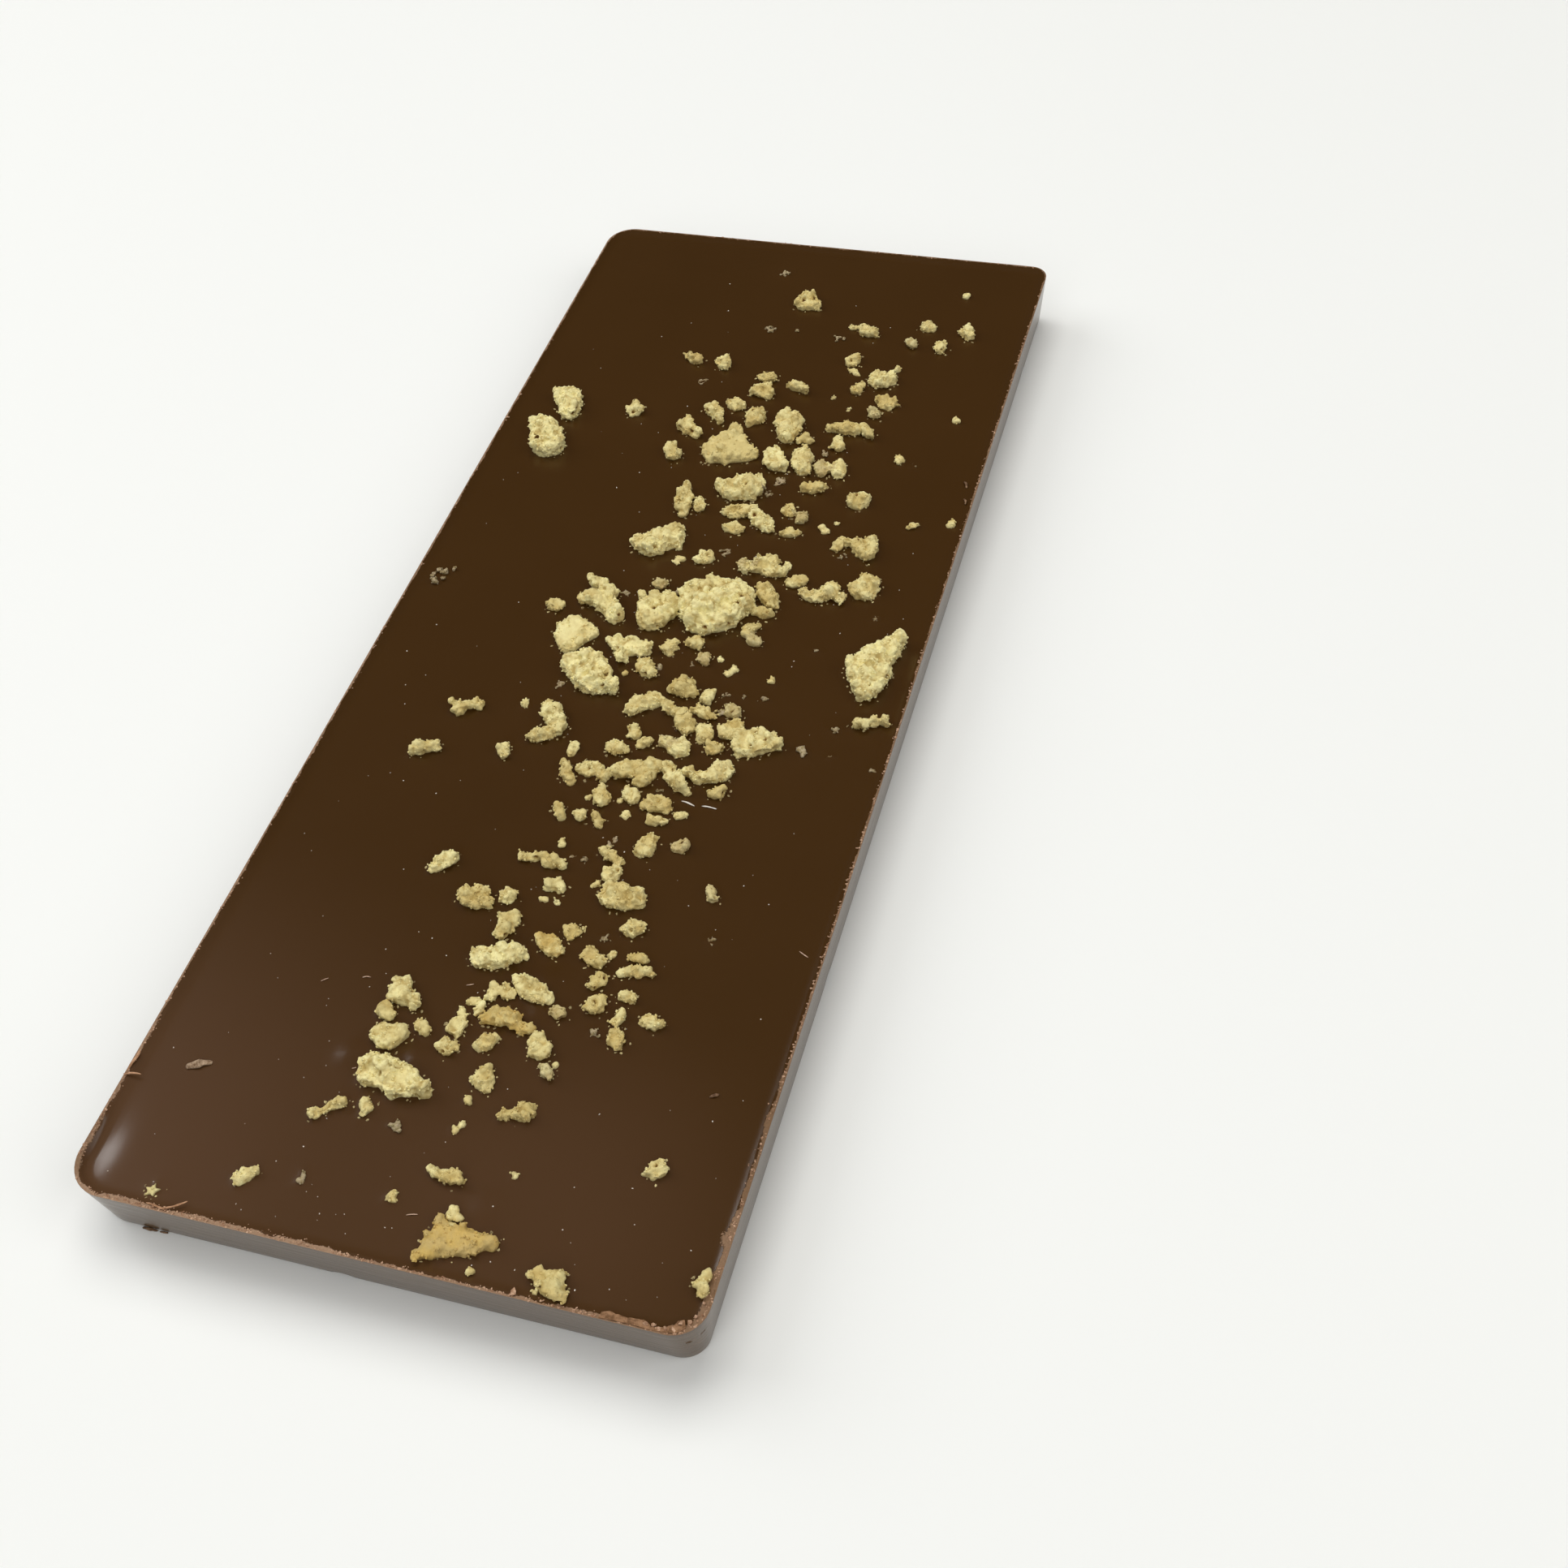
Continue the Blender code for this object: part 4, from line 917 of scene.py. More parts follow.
def makeSheet(inset):
    # A flat sheet of cells with the bar's rounded outline, and on its rim the way out from it
    columns = round(2 * bar["halfWidth"] / bar["cell"])
    rows = round(2 * bar["halfLength"] / bar["cell"]) + 2 * bar["cornerRows"]
    bm = bmesh.new()
    outward = bm.verts.layers.float_vector.new("outward")
    bmesh.ops.create_grid(bm, x_segments=columns, y_segments=rows, size=1.0)
    for vert in bm.verts:
        column = round((vert.co.x + 1) / 2 * columns)
        row = round((vert.co.y + 1) / 2 * rows)
        (left, leftOut), (right, rightOut) = (rowEnd(side, row, rows, inset) for side in (-1, 1))
        vert.co = left.lerp(right, column / columns)
        if column in (0, columns):
            vert[outward] = leftOut if column == 0 else rightOut
        elif row in (0, rows):
            vert[outward] = Vector((0, -1 if row == 0 else 1, 0))
    return bm, outward


def growRing(bm, edges, outward, across, drop=0.0):
    # A ring of cells grown from an edge loop, moved along the way out by its shares in x and y
    grown = bmesh.ops.extrude_edge_only(bm, edges=edges)
    for vert in pick(grown, bmesh.types.BMVert):
        vert.co += vert[outward] * across
        vert.co.z -= drop
    return [edge for edge in pick(grown, bmesh.types.BMEdge) if edge.is_boundary]


def rimRise(edge):  # the chocolate climbs from the pool to the rim in a hollow curve
    share = min(1.0, max(0.0, (bar["pool"] - edge) / (bar["pool"] - bar["rimWidth"])))
    return bar["poolDepth"] * share**2


def dip(x, y, edge):  # and it has sunk a little along the left side of the near left corner
    middleX, middleY, reachX, reachY, depth = bar["dip"]
    away = ((x - middleX) / reachX) ** 2 + ((y - middleY) / reachY) ** 2
    return depth * math.exp(-away) * smoothStep(*bar["dipEdge"], edge)


def backHeight(x, y, outlineTree):
    edge = wayIn(x, y)[0]
    level = poolLevel + rimRise(edge) - dip(x, y, edge)
    calm = smoothStep(0, bar["calm"], edge)
    for size, depth in bar["waves"]:
        level += depth * wander(x, y, size, size / mm) * calm
    away = outlineTree.find((x, y, 0))[2]
    level += bar["meniscus"][0] * math.exp(-away / bar["meniscus"][1]) * calm
    level += bar["halo"][0] * math.exp(-((away / bar["halo"][1]) ** 2)) * calm
    for centreX, centreY, reach, height in swellings:
        apart = math.hypot(x - centreX * mm, y - centreY * mm) / (reach * mm)
        level += height * mm * math.exp(-(apart**2))
    (share, inner), (size, evenness, seed) = bar["wornInner"], bar["wornWaves"]
    worn = smoothStep(bar["rimWidth"] * share, inner, edge) * smoothStep(*bar["wornOuter"], edge)
    return level - bar["rimWorn"] * worn * (evenness + wander(x, y, size, seed))


def outlinesOf(pieces):
    # The places where flakes meet the pool
    spots = [p for piece in pieces for p in points(piece.data) if abs(p[2] - poolLevel) < bar["foot"]]
    return treeOf([(x, y, 0) for x, y, z in spots], range(len(spots)))


def makeBack(outlineTree):
    bm, outward = makeSheet(bar["pool"])
    rim = [edge for edge in bm.edges if edge.is_boundary]
    distance = bar["pool"]
    for ring in bar["rings"]:
        rim = growRing(bm, rim, outward, distance - ring * mm)
        distance = ring * mm
    near = set()
    for face in bm.faces:
        middle = face.calc_center_median()
        if outlineTree.find((middle.x, middle.y, 0))[2] < bar["fine"]:
            near.update(face.edges)
    near = [edge for edge in near if not edge.is_boundary]
    bmesh.ops.subdivide_edges(bm, edges=near, cuts=2, use_grid_fill=True)
    for vert in bm.verts:
        vert.co.z = backHeight(vert.co.x, vert.co.y, outlineTree)
    for vert in {vert for edge in bm.edges if edge.is_boundary for vert in edge.verts}:
        vert.co.z = bar["thickness"]
    return bm


def grooveSection(bm):
    radius, lip = bar["grooveRadius"], bar["grooveLip"]
    verts = bmesh.ops.create_circle(bm, cap_ends=True, segments=bar["grooveSides"], radius=radius)["verts"]
    bmesh.ops.rotate(bm, cent=(0, 0, 0), matrix=Matrix.Rotation(math.pi / 2, 3, "X"), verts=verts)
    bmesh.ops.translate(bm, vec=(0, 0, bar["grooveDepth"] - radius), verts=verts)
    for vert in verts:  # the lips flare where the groove meets the moulded face
        vert.co.x *= 1 + bar["grooveFlare"] * smoothStep(lip, -lip, vert.co.z)
    return verts


def straightGroove(start, end):
    start, end = (Vector((*place, 0)) * mm for place in (start, end))
    run = end - start
    bm = bmesh.new()
    grooveSection(bm)
    grown = bmesh.ops.extrude_face_region(bm, geom=bm.faces[:])
    bmesh.ops.translate(bm, vec=(0, run.length, 0), verts=pick(grown, bmesh.types.BMVert))
    turn = Matrix.Rotation(math.atan2(run.y, run.x) - math.pi / 2, 4, "Z")
    bmesh.ops.transform(bm, matrix=Matrix.Translation(start) @ turn, verts=bm.verts)
    return bm


def curvedGroove(centre, radius, first, last):
    bm = bmesh.new()
    bmesh.ops.translate(bm, vec=(radius * mm, 0, 0), verts=grooveSection(bm))
    turn = Matrix.Rotation(math.radians(first), 3, "Z")
    bmesh.ops.rotate(bm, cent=(0, 0, 0), matrix=turn, verts=bm.verts)
    steps = round((last - first) / bar["grooveStep"])
    sweep = {"angle": math.radians(last - first), "steps": steps}
    bmesh.ops.spin(bm, geom=bm.faces[:], cent=(0, 0, 0), axis=(0, 0, 1), **sweep)
    bmesh.ops.translate(bm, vec=(centre[0] * mm, centre[1] * mm, 0), verts=bm.verts)
    return bm


def wallPit(place, radii, draw):
    bm = bmesh.new()
    place, radii = Vector(place) * mm, Vector(radii) * mm
    addLump(bm, place, radii, 0.0, draw, bar["pitUnevenness"], steps=3)
    return bm


def makeWalls(material):
    # Walls and moulded face, closed by a lid that is taken off once the grooves are cut
    bm, outward = makeSheet(0.0)
    inner = [vert for vert in bm.verts if vert[outward].length < 0.5]
    bmesh.ops.delete(bm, geom=inner, context="VERTS")
    bmesh.ops.delete(bm, geom=bm.faces[:], context="FACES_ONLY")
    edges = bm.edges[:]
    for vert in bm.verts:
        vert.co.z = bar["thickness"]
    lean = Vector((bar["sideDraft"], bar["endDraft"], 0)) / bar["thickness"]
    down = 0.0
    for row in bar["wallRows"]:
        step = row * mm - down
        edges = growRing(bm, edges, outward, -lean * step, step)
        down = row * mm
    for step in range(bar["footSteps"]):
        last, angle = (index / bar["footSteps"] * math.pi / 2 for index in (step, step + 1))
        inward = bar["footRound"] * (math.cos(last) - math.cos(angle))
        drop = bar["footRound"] * (math.sin(angle) - math.sin(last))
        edges = growRing(bm, edges, outward, -Vector((inward, inward, 0)), drop)
    bmesh.ops.holes_fill(bm, edges=edges, sides=0)
    bmesh.ops.holes_fill(bm, edges=[edge for edge in bm.edges if edge.is_boundary], sides=0)
    bmesh.ops.recalc_face_normals(bm, faces=bm.faces[:])
    return takeMesh("lowerBar", bm, material)


def cutWalls(lower, material):
    # Grooves in the moulded face and pits in a wall
    cutters = bpy.data.collections.new("cutters")
    draw = random.Random(bar["pitSeed"])
    cuts = [straightGroove(*row) for row in straightGrooves]
    cuts += [curvedGroove(*row) for row in curvedGrooves]
    cuts += [wallPit(*row, draw) for row in wallPits]
    for cut in cuts:
        bmesh.ops.recalc_face_normals(cut, faces=cut.faces[:])
        cutter = takeMesh("cutter", cut, material)
        bpy.context.scene.collection.objects.unlink(cutter)
        cutters.objects.link(cutter)
    bpy.context.scene.collection.children.link(cutters)
    cut = lower.modifiers.new("cuts", "BOOLEAN")
    cut.operation = "DIFFERENCE"
    cut.operand_type = "COLLECTION"
    cut.collection = cutters
    cut.solver = "EXACT"
    settle(lower)
    for cutter in list(cutters.objects):
        bpy.data.objects.remove(cutter, do_unlink=True)
    bpy.data.collections.remove(cutters)


def chocolateMaterial():
    material, wire, coords = startMaterial("set chocolate")
    wear, ruddy, wall = (reading(wire, name) for name in wearNames)
    fine = grain(wire, coords, 0.2 * mm, 3, 0.6)
    speck = grain(wire, coords, 0.7 * mm, 2, 0.6)
    patch = grain(wire, coords, 14 * mm, 2, 0.5)
    flat = wire.node("ShaderNodeVectorMath", {"operation": "MULTIPLY"}, {0: coords, 1: (0.05, 0.05, 1.0)})
    streak = grain(wire, flat, 0.35 * mm, 2, 0.6)
    # Painted glow: the pool is paler near the front left corner and round a second spot at the front,
    # standing for light that falls more strongly there
    clear = 1.0
    for x, y, near, far, share in bar["paintedGlow"]:
        links = {0: coords, 1: (x * mm, y * mm, poolLevel)}
        away = wire.node("ShaderNodeVectorMath", {"operation": "DISTANCE"}, links, out="Value")
        clear = clear * (1 - (1 - away.rise(near * mm, far * mm)) * share)
    pool = clear.blend(barPaints["paintedGlow"], patch.blend(*barPaints["pool"]))
    bloomed = (speck * 0.4 + streak * 0.6).rise(0.25, 0.75).blend(*barPaints["wall"])
    base = wall.blend(pool, bloomed)
    scraped = (wear + (fine - 0.5) * 1.1 + (speck - 0.5) * 0.7).rise(0.46, 0.6)
    pink = fine.blend(*barPaints["pinkScrape"])
    brown = fine.blend(*barPaints["brownScrape"])
    tan = ruddy.blend(pink, brown)
    colour = (scraped * 0.92).blend(base, tan)
    roughness = 0.24 - 0.03 * wall + scraped * 0.4 + (speck - 0.5) * 0.04 + (streak - 0.5) * wall * 0.15
    height = fine * 0.015 + scraped * fine * 0.9 + streak * wall * 0.35
    sockets = {"Base Color": colour, "Roughness": roughness, "Specular IOR Level": 0.45}
    finishMaterial(wire, sockets, height, 0.06 * mm)
    return material


def rimBand(x, y):
    # The scraped band's width in metres, and how ruddy it is, by the stretches of rim nearby
    widest, ruddiest = bar["scrapedLeast"]
    place = Vector((x, y, 0)) / mm
    for start, end, width, density, ruddy in rimStretches:
        away = gapTo(place, Vector((*start, 0)), Vector((*end, 0)))
        near = width * smoothStep(*bar["scrapedFade"], away)
        if near > widest:
            widest, ruddiest = near, ruddy
    return widest * mm, ruddiest


def wearAt(place):
    # How scraped the chocolate is at a place, how ruddy there, and how far down the wall it is
    x, y, z = place
    edge = wayIn(x, y)[0]
    down = bar["thickness"] - z
    if edge > bar["farIn"] and down < bar["backDepth"]:
        width, ruddy = bar["scrapedLeast"][0] * mm, bar["scrapedLeast"][1]
    else:
        width, ruddy = rimBand(x, y)
    size, depth, seed = bar["scrapedWaves"]
    width *= 1 + depth * wander(x, y, size, seed)
    start, stop = (share * width for share in bar["scrapedBack"])
    onBack = 1 - smoothStep(start, stop, edge)
    onWall = 1 - smoothStep(*bar["scrapedWall"], down - bar["poolDepth"] * (edge > bar["rimWidth"]))
    inset, lean = bar["wallInset"]
    wall = smoothStep(*bar["wallFinish"], down) if edge < inset + down * lean else 0.0
    return onBack * onWall, ruddy, wall


def makeBar(outlineTree):
    material = chocolateMaterial()
    lower = makeWalls(material)
    cutWalls(lower, material)
    walls = bmesh.new()
    walls.from_mesh(lower.data)
    lid = [face for face in walls.faces if all(abs(v.co.z - bar["thickness"]) < 1e-6 for v in face.verts)]
    bmesh.ops.delete(walls, geom=lid, context="FACES_ONLY")
    walls.to_mesh(lower.data)
    walls.free()
    bm = makeBack(outlineTree)
    bm.from_mesh(lower.data)
    bpy.data.objects.remove(lower, do_unlink=True)
    bmesh.ops.remove_doubles(bm, verts=bm.verts[:], dist=bar["weld"])
    bmesh.ops.recalc_face_normals(bm, faces=bm.faces[:])
    print("the bar has", sum(not edge.is_manifold for edge in bm.edges), "open edges")
    bm.verts.layers.float_vector.remove(bm.verts.layers.float_vector["outward"])
    piece = takeMesh("chocolateBar", bm, material)
    marks = np.array([wearAt(vert.co) for vert in piece.data.vertices])
    for name, column in zip(wearNames, marks.T):
        keepValues(piece.data, name, column)
    piece.data.shade_smooth()
    piece.data.set_sharp_from_angle(angle=bar["sharp"])
    onRoot(piece, True)


outlineTree = outlinesOf(flakePieces)
makeBar(outlineTree)
print("the bar is cast")


# Loose scraps: rim scrapings, curls, shavings and dust

scraps = {
    "seed": 21,
    "unevenness": 0.7,
    "stretch": ((0.6, 1.5), (0.6, 1.1), (0.5, 0.9)),  # along, across and up, in shares of its radius
    "bit": (0.04, 0.11),  # radii in mm
    "bitLevel": (-0.02, 0.05),  # height of its middle over the chocolate in mm
    "bitShrink": (1.2, 0.5),  # a bit's size at the rim, and how much less of it 1 mm further in
    "spread": 0.6,  # how far in the scrapings lie, in shares of the band's width
    "inset": (0.06, 1.6),  # least and most, in mm
    "clusters": (1.1 * mm, 0.5, -0.1),  # size, how ragged, and the level that keeps a bit
    "toothStep": 1.3,  # teeth along the right side of the rim: spacing in mm, and from which y to which
    "toothStretch": (-51, -21),
    "toothInset": (0.15, 0.35),
    "toothRadii": (0.17 * mm, 0.08 * mm, 0.08 * mm),
    "toothPlay": (0.2, 0.8),
    "toothTurn": 0.4,
    "lying": 0.03 * mm,  # height of a small scrap's middle
    "flapWaves": (0.5 * mm, Vector((0, 0.14, 0.07)) * mm, 4.0),  # size, way and depth, and seed
    "dust": 190,
    "dustRadius": (0.035, 0.075),
    "dustHalfWidth": 27,
    "dustRows": (-73, 140, 1.8),  # least y and reach in mm, and how much the specks crowd to the near end
    "grit": 1.1,  # grains for each mm of a flake's outline
    "gritSpread": (-0.05, 0.55),
    "gritRadius": (0.07, 0.17),
    "strandSides": 8,
    "strandSteps": 5,
    "strandEnd": 0.3,  # thickness of its ends, in shares of its middle's
    "strandKnots": (0.2, 0.4, 900),  # length and depth of its thicker spots, and how they differ by place
}

scrapPaints = {
    "maple grit": (paint(112, 90, 62), paint(222, 206, 150)),
    "rim scrapings": (paint(140, 100, 72), paint(212, 176, 146)),
    "rim flaps": (paint(106, 76, 50), paint(160, 122, 90)),
    "rimCurls": (paint(158, 116, 84), paint(206, 162, 126)),
    "paleShavings": (paint(206, 196, 182), paint(240, 234, 226)),
    "tanSlivers": (paint(170, 136, 112), paint(214, 184, 160)),
    "streakyShaving": (paint(104, 78, 54), paint(186, 160, 132)),
    "brownShavings": (paint(86, 60, 42), paint(150, 120, 92)),
    "pale dust": (paint(222, 208, 190), paint(250, 245, 236)),
}

# Larger bits: x, y, height over the floor and radius in mm
looseBits = (
    (13.5, -74.55, 7.0, 0.3), (28.0, -73.7, 7.0, 0.3), (26.9, -74.5, 7.0, 0.26), (28.7, -73.5, 6.95, 0.24),
    (25.2, -74.5, 7.0, 0.3), (25.8, -74.4, 7.0, 0.26), (26.3, -74.6, 7.0, 0.22), (27.6, -74.4, 6.95, 0.22),
    (29.0, -72.9, 6.95, 0.2), (29.3, -71.6, 6.95, 0.2), (-20.6, -74.6, 7.0, 0.2), (-19.9, -74.7, 7.0, 0.16),
)

# Thin strands: radius in mm, thinness, and places in mm, each with its height over the pool
strands = {
    "rimCurls": (
        (0.1, 0.7, (-30.0, -63.2, 0.35), (-29.5, -63.0, 0.5), (-28.9, -62.85, 0.5), (-28.3, -62.8, 0.45)),
        (0.16, 0.6, (-29.9, -62.6, 0.3), (-29.75, -61.9, 0.5), (-29.65, -61.1, 0.45), (-29.8, -60.4, 0.3)),
        (0.1, 0.6, (-19.9, -74.7, 0.4), (-19.1, -74.5, 0.5), (-18.4, -74.1, 0.5), (-17.8, -73.5, 0.35)),
        (0.09, 0.6, (-21.4, -74.5, 0.35), (-20.4, -74.6, 0.45), (-19.4, -74.75, 0.4)),
    ),
    "paleShavings": (
        (0.09, 0.6, (10.7, -20.6, 0.05), (11.3, -20.7, 0.12), (12.2, -20.95, 0.05)),
        (0.09, 0.6, (12.9, -20.8, 0.05), (13.6, -20.8, 0.12), (14.5, -20.85, 0.05)),
    ),
    "tanSlivers": (
        (0.06, 0.7, (-12.6, -47.9, 0.03), (-12.2, -47.75, 0.1), (-11.8, -47.7, 0.03)),
        (0.06, 0.7, (-16.4, -49.2, 0.03), (-16.1, -49.0, 0.1), (-15.8, -48.7, 0.03)),
        (0.05, 0.7, (-2.4, -46.5, 0.03), (-2.0, -46.4, 0.1), (-1.7, -46.2, 0.03)),
        (0.055, 0.7, (1.6, -70.0, 0.03), (2.1, -69.85, 0.1), (2.6, -69.7, 0.03)),
        (0.05, 0.7, (-9.4, -57.5, 0.03), (-9.1, -57.4, 0.08), (-8.8, -57.2, 0.03)),
        (0.06, 0.7, (27.4, -35.8, 0.05), (27.9, -36.1, 0.12), (28.4, -36.3, 0.05)),
    ),
    "streakyShaving": (
        (0.42, 0.3, (-24.8, -60.9, 0.0), (-24.1, -60.6, 0.14), (-23.3, -60.2, 0.18), (-22.5, -59.9, 0.02)),
    ),
    "brownShavings": (
        (0.15, 0.6, (-24.6, -74.15, -6.5), (-23.8, -74.2, -6.35), (-23.0, -74.15, -6.45)),
        (0.11, 0.8, (-22.8, -74.15, -6.5), (-22.4, -74.15, -6.45), (-22.0, -74.1, -6.52)),
        (0.16, 0.6, (23.8, -52.8, 0.0), (24.2, -52.6, 0.15), (24.6, -52.3, 0.0)),
        (0.14, 0.7, (28.2, 32.4, 0.05), (28.5, 31.9, 0.2), (28.7, 31.3, 0.1)),
        (0.12, 0.7, (28.8, 29.3, 0.2), (29.1, 28.9, 0.3), (29.2, 28.3, 0.3)),
    ),
}

# Thin scraps lying on the rim: level and thickness in mm, and the corners of the outline
rimFlaps = (
    (6.95, 0.14, (21.2, -74.9), (21.3, -74.4), (21.9, -74.15), (22.8, -74.3), (23.6, -74.35), (24.5, -74.2),
     (25.2, -74.3), (25.7, -74.55), (25.9, -74.85)),
    (6.9, 0.12, (25.4, -74.9), (25.5, -74.5), (26.1, -74.6), (26.8, -74.3), (27.5, -74.1), (27.7, -73.6),
     (28.2, -73.4), (28.5, -74.0), (28.1, -74.5), (27.0, -74.85)),
)


def scrapMaterial(name):
    material, wire, coords = startMaterial(name)
    speck = grain(wire, coords, 0.5 * mm, 2, 0.6)
    fine = grain(wire, coords, 0.12 * mm, 2, 0.6)
    colour = (speck * 0.7 + fine * 0.3).rise(0.32, 0.68).blend(*scrapPaints[name])
    sockets = {"Base Color": colour, "Roughness": 0.7, "Specular IOR Level": 0.3}
    finishMaterial(wire, sockets, fine, 0.03 * mm)
    return material


def bitAt(place, radii, turn, draw):
    bm = bmesh.new()
    addLump(bm, place, radii, turn, draw, scraps["unevenness"], steps=1)
    return bm


def softBit(place, radius, draw):
    radii = [radius * draw.uniform(*stretch) for stretch in scraps["stretch"]]
    return bitAt(place, radii, draw.uniform(0, math.pi), draw)


def rimFlap(level, thickness, *corners):
    bm = bmesh.new()
    face = bm.faces.new([bm.verts.new(Vector((*corner, level)) * mm) for corner in corners])
    upper = pick(bmesh.ops.extrude_face_region(bm, geom=[face]), bmesh.types.BMVert)
    bmesh.ops.translate(bm, vec=(0, 0, thickness * mm), verts=upper)
    bmesh.ops.recalc_face_normals(bm, faces=bm.faces[:])
    bmesh.ops.subdivide_edges(bm, edges=bm.edges[:], cuts=2, use_grid_fill=True)
    size, bend, seed = scraps["flapWaves"]
    for vert in bm.verts:
        vert.co += bend * wander(vert.co.x, vert.co.y, size, seed)
    return bm


def makeGrit():
    # Grains that broke off the flakes and lie about their feet
    draw = random.Random(scraps["seed"] + 2)
    parts = []
    for corners in flakeOutlines:
        middle = sum(corners, Vector()) / len(corners)
        for start, end in runsOf(corners):
            for index in range(round((end - start).length / mm * scraps["grit"] + draw.random() - 0.5)):
                place = start.lerp(end, draw.random())
                place += (place - middle).normalized() * draw.uniform(*scraps["gritSpread"]) * mm
                place.z = poolLevel + scraps["lying"]
                parts.append(softBit(place, draw.uniform(*scraps["gritRadius"]) * mm, draw))
    onRoot(joinParts(parts, "mapleGrit", scrapMaterial("maple grit")))


def makeScrapings():
    # Scraps along the rim, a row of teeth on its right side, and larger bits
    draw = random.Random(scraps["seed"])
    parts = []
    least, most = scraps["inset"]
    size, ragged, level = scraps["clusters"]
    whole, shrink = scraps["bitShrink"]
    for start, end, width, density, ruddy in rimStretches:
        start, end = Vector((*start, 0)) * mm, Vector((*end, 0)) * mm
        for index in range(round((end - start).length / mm * density)):
            place = start.lerp(end, draw.random())
            edge, out = wayIn(place.x, place.y)
            inset = min(most, least + abs(draw.gauss(0, scraps["spread"] * width))) * mm
            place -= out * (inset - edge)
            if noise.noise(place / size) + draw.uniform(-ragged, ragged) > level:
                place.z = backHeight(place.x, place.y, outlineTree) + draw.uniform(*scraps["bitLevel"]) * mm
                radius = draw.uniform(*scraps["bit"]) * mm * (whole - shrink * min(1.0, inset / mm))
                parts.append(softBit(place, radius, draw))
    first, last = scraps["toothStretch"]
    for index in range(int((last - first) / scraps["toothStep"])):
        y = (first + (index + draw.uniform(*scraps["toothPlay"])) * scraps["toothStep"]) * mm
        place = Vector((bar["halfWidth"] - draw.uniform(*scraps["toothInset"]) * mm, y, 0))
        place.z = backHeight(place.x, place.y, outlineTree) + scraps["lying"]
        turn = draw.uniform(-scraps["toothTurn"], scraps["toothTurn"])
        parts.append(bitAt(place, scraps["toothRadii"], turn, draw))
    for x, y, height, radius in looseBits:
        parts.append(softBit(Vector((x, y, height)) * mm, radius * mm, draw))
    onRoot(joinParts(parts, "rimScrapings", scrapMaterial("rim scrapings")))
    flaps = [rimFlap(*row) for row in rimFlaps]
    onRoot(joinParts(flaps, "rimFlaps", scrapMaterial("rim flaps")))


def strand(radius, thinness, *places):
    # A flattened thread with fine ends through its places
    places = [Vector((x, y, height)) * mm + Vector((0, 0, poolLevel)) for x, y, height in places]
    path = []
    for index in range(len(places) - 1):
        before, after = places[max(index - 1, 0)], places[min(index + 2, len(places) - 1)]
        start, end = places[index], places[index + 1]
        for step in range(scraps["strandSteps"]):
            t = step / scraps["strandSteps"]
            bend = (end - before) * (t - 2 * t**2 + t**3) / 2 + (after - start) * (t**3 - t**2) / 2
            path.append(start.lerp(end, 3 * t**2 - 2 * t**3) + bend)
    path.append(places[-1])
    bm = bmesh.new()
    made = bmesh.ops.create_circle(bm, cap_ends=True, segments=scraps["strandSides"], radius=1.0)
    ring, cap, stood = made["verts"], bm.faces[:], Matrix.Identity(4)
    thin = scraps["strandEnd"]
    knotSize, knotDepth, knotPlace = scraps["strandKnots"]
    for index, place in enumerate(path):
        ahead = path[min(index + 1, len(path) - 1)] - path[max(index - 1, 0)]
        share = index / (len(path) - 1)
        size = radius * mm * (thin + (1 - thin) * math.sqrt(math.sin(math.pi * share)))
        size *= 1 + knotDepth * wander(share, 0, knotSize, place.x * knotPlace)
        turn = ahead.to_track_quat("Z", "Y").to_matrix().to_4x4()
        stand = Matrix.Translation(place) @ turn @ Matrix.Diagonal((size, size * thinness, size, 1))
        if index:
            grown = bmesh.ops.extrude_face_region(bm, geom=cap)
            ring, cap = pick(grown, bmesh.types.BMVert), pick(grown, bmesh.types.BMFace)
        bmesh.ops.transform(bm, matrix=stand @ stood.inverted(), verts=ring)
        stood = stand
    bmesh.ops.recalc_face_normals(bm, faces=bm.faces[:])
    return bm


def makeStrands():
    for name, rows in strands.items():
        piece = joinParts([strand(*row) for row in rows], name, scrapMaterial(name))
        piece.data.shade_smooth()
        onRoot(piece)


def makeDust():
    draw = random.Random(scraps["seed"] + 1)
    parts = []
    near, reach, crowding = scraps["dustRows"]
    for index in range(scraps["dust"]):
        x = draw.uniform(-scraps["dustHalfWidth"], scraps["dustHalfWidth"]) * mm
        y = (near + reach * draw.random() ** crowding) * mm
        place = Vector((x, y, backHeight(x, y, outlineTree)))
        parts.append(softBit(place, draw.uniform(*scraps["dustRadius"]) * mm, draw))
    onRoot(joinParts(parts, "dustSpecks", scrapMaterial("pale dust")))


makeGrit()
makeScrapings()
makeStrands()
makeDust()
print("the scraps are scattered")


# Floor, light and camera

stage = {
    "floor": paint(248, 249, 246),
    "floorReach": 0.8,  # in metres, from its middle to each edge
    "dim": 0.05,  # what the chocolate sees of the room
    "pale": 0.95,  # what shows past the floor's edge
    "cameraPlace": (65.241, -130.531, 150.456),
    "cameraTurn": (40.28499, 4.66192, 16.00207),
    "lens": 42.81,
    "sensor": 36,
    "clip": 0.01,
}

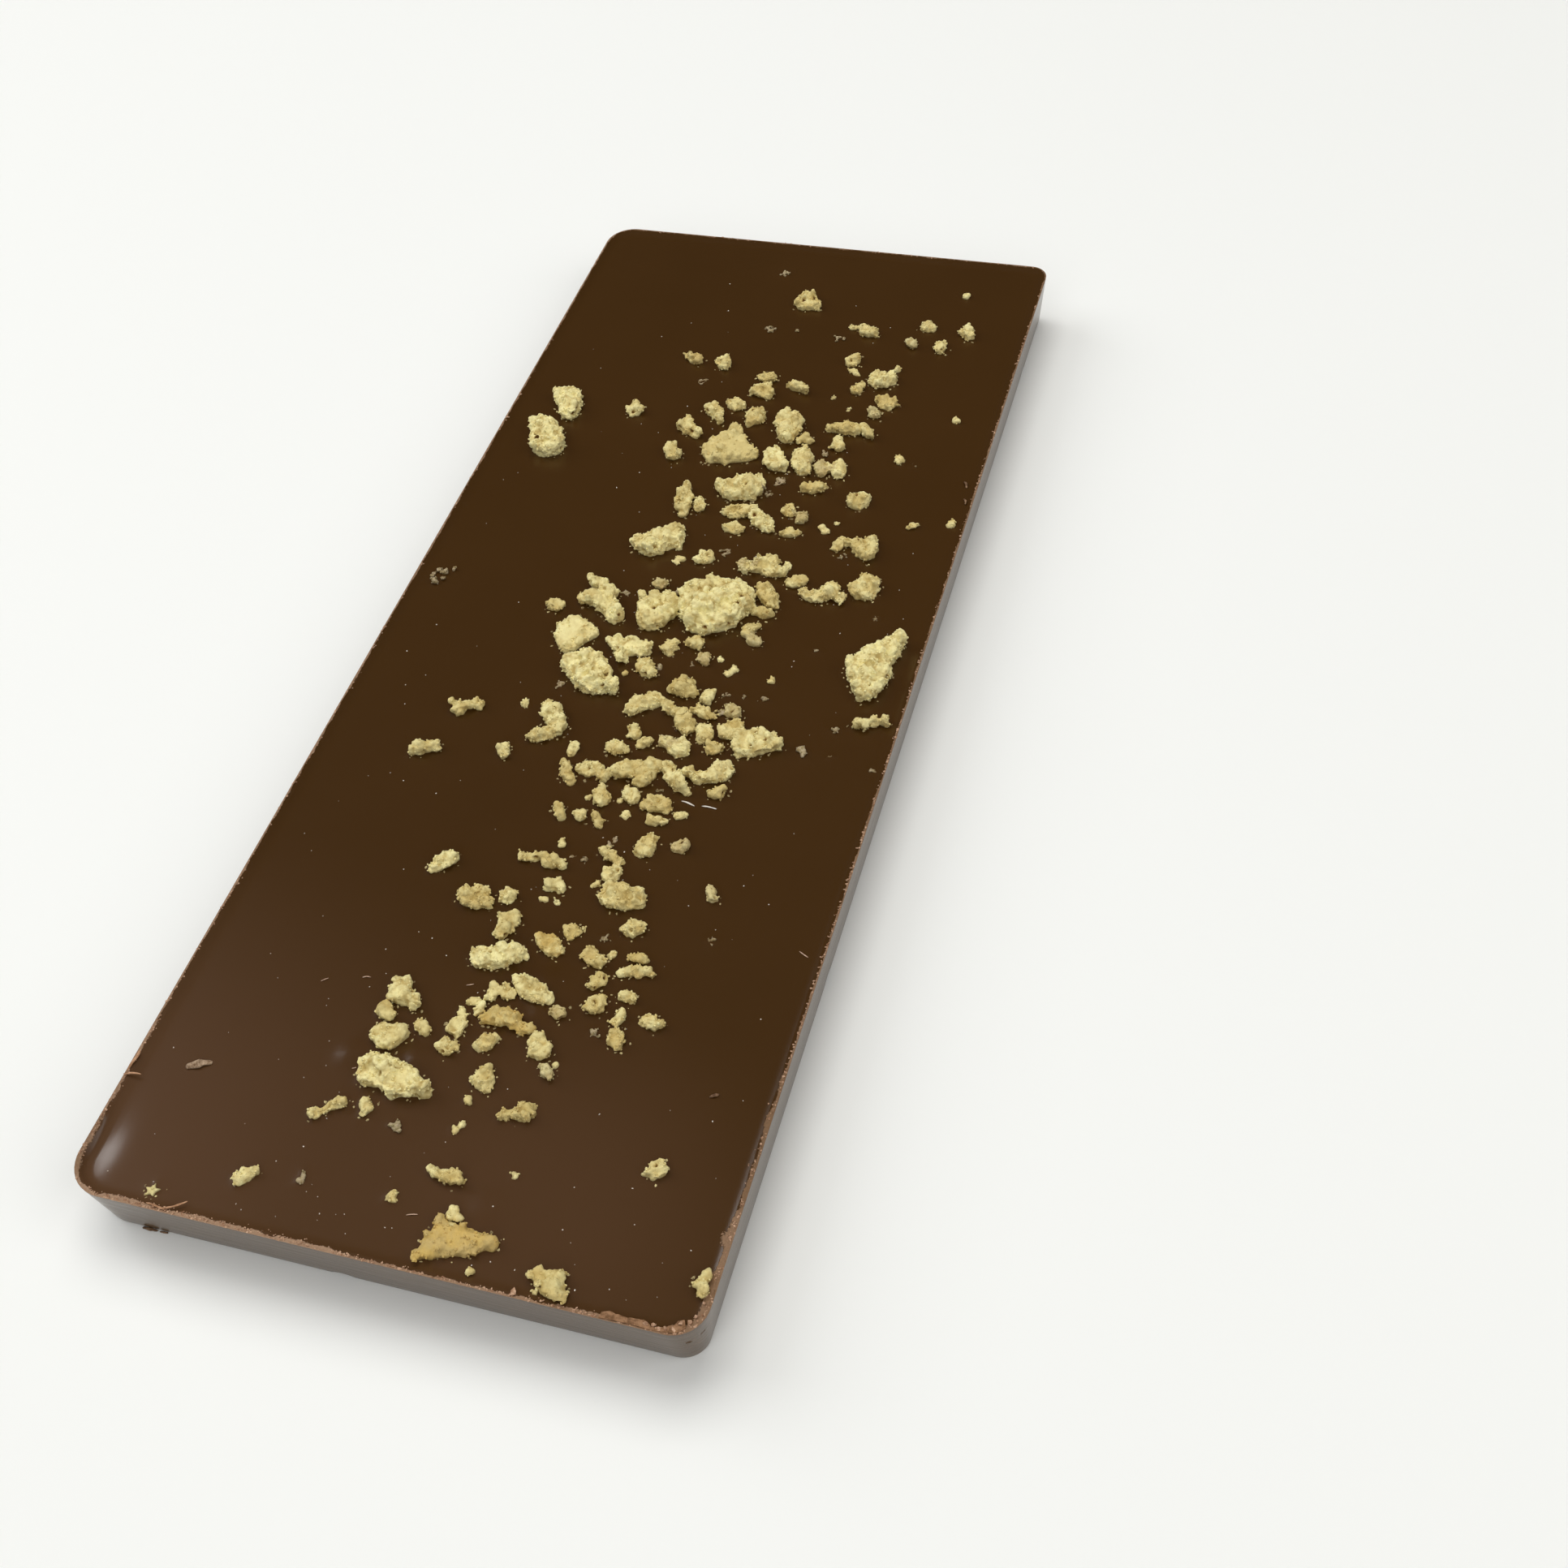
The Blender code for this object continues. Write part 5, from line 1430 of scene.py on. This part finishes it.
# Soft boxes: name, direction, distance and size in metres, brightness, colour, and whether gloss
# and matt surfaces show them
lamps = (
    ("ceiling", (-0.12, 0.42, 1.0), 1.0, 0.7, 3.2, (1.0, 0.985, 0.96), False, True),
    ("left", (-1.0, 0.2, 0.75), 1.1, 0.8, 2.5, (0.98, 0.99, 1.0), False, True),
    ("right", (1.0, -0.1, 0.8), 1.1, 0.8, 1.8, (1.0, 0.99, 0.97), True, True),
    ("front", (0.1, -1.0, 0.9), 1.1, 0.9, 1.8, (1.0, 1.0, 1.0), False, True),
    ("gleam", (-0.77, 0.25, 0.59), 1.0, 0.22, 7.0, (1.0, 1.0, 1.0), True, False),
)


def makeStage():
    bm = bmesh.new()
    bmesh.ops.create_grid(bm, x_segments=2, y_segments=2, size=stage["floorReach"])
    material, wire, coords = startMaterial("pale floor")
    sockets = {"Base Color": stage["floor"], "Roughness": 0.6}
    finishMaterial(wire, sockets, grain(wire, coords, 3 * mm), 0.01 * mm)
    floor = takeMesh("floor", bm, material)
    world = bpy.data.worlds.new("studio")
    world.use_nodes = True
    world.node_tree.nodes.clear()
    wire = Wire(world.node_tree)
    seen = wire.node("ShaderNodeLightPath", out="Is Camera Ray")
    strength = stage["dim"] + seen * (stage["pale"] - stage["dim"])
    glow = wire.node("ShaderNodeBackground", links={"Color": (1, 1, 1, 1), "Strength": strength})
    wire.node("ShaderNodeOutputWorld", links={"Surface": glow})
    bpy.context.scene.world = world
    for name, direction, distance, size, brightness, colour, shines, lights in lamps:
        light = bpy.data.lights.new(name, "AREA")
        light.size = size
        light.energy = brightness * math.pi * size**2
        light.color = colour
        lamp = bpy.data.objects.new(name, light)
        lamp.visible_glossy = shines
        lamp.visible_diffuse = lights
        way = Vector(direction).normalized()
        lamp.location = way * distance
        lamp.rotation_euler = way.to_track_quat("Z", "Y").to_euler()
        bpy.context.scene.collection.objects.link(lamp)


def makeCamera():
    data = bpy.data.cameras.new("camera")
    data.lens = stage["lens"]
    data.sensor_width = stage["sensor"]
    data.clip_start = stage["clip"]
    camera = bpy.data.objects.new("camera", data)
    camera.location = Vector(stage["cameraPlace"]) * mm
    camera.rotation_euler = [math.radians(angle) for angle in stage["cameraTurn"]]
    bpy.context.scene.collection.objects.link(camera)
    bpy.context.scene.camera = camera
    bpy.context.scene.view_settings.view_transform = "Standard"


makeStage()
makeCamera()
print("the stage is lit")
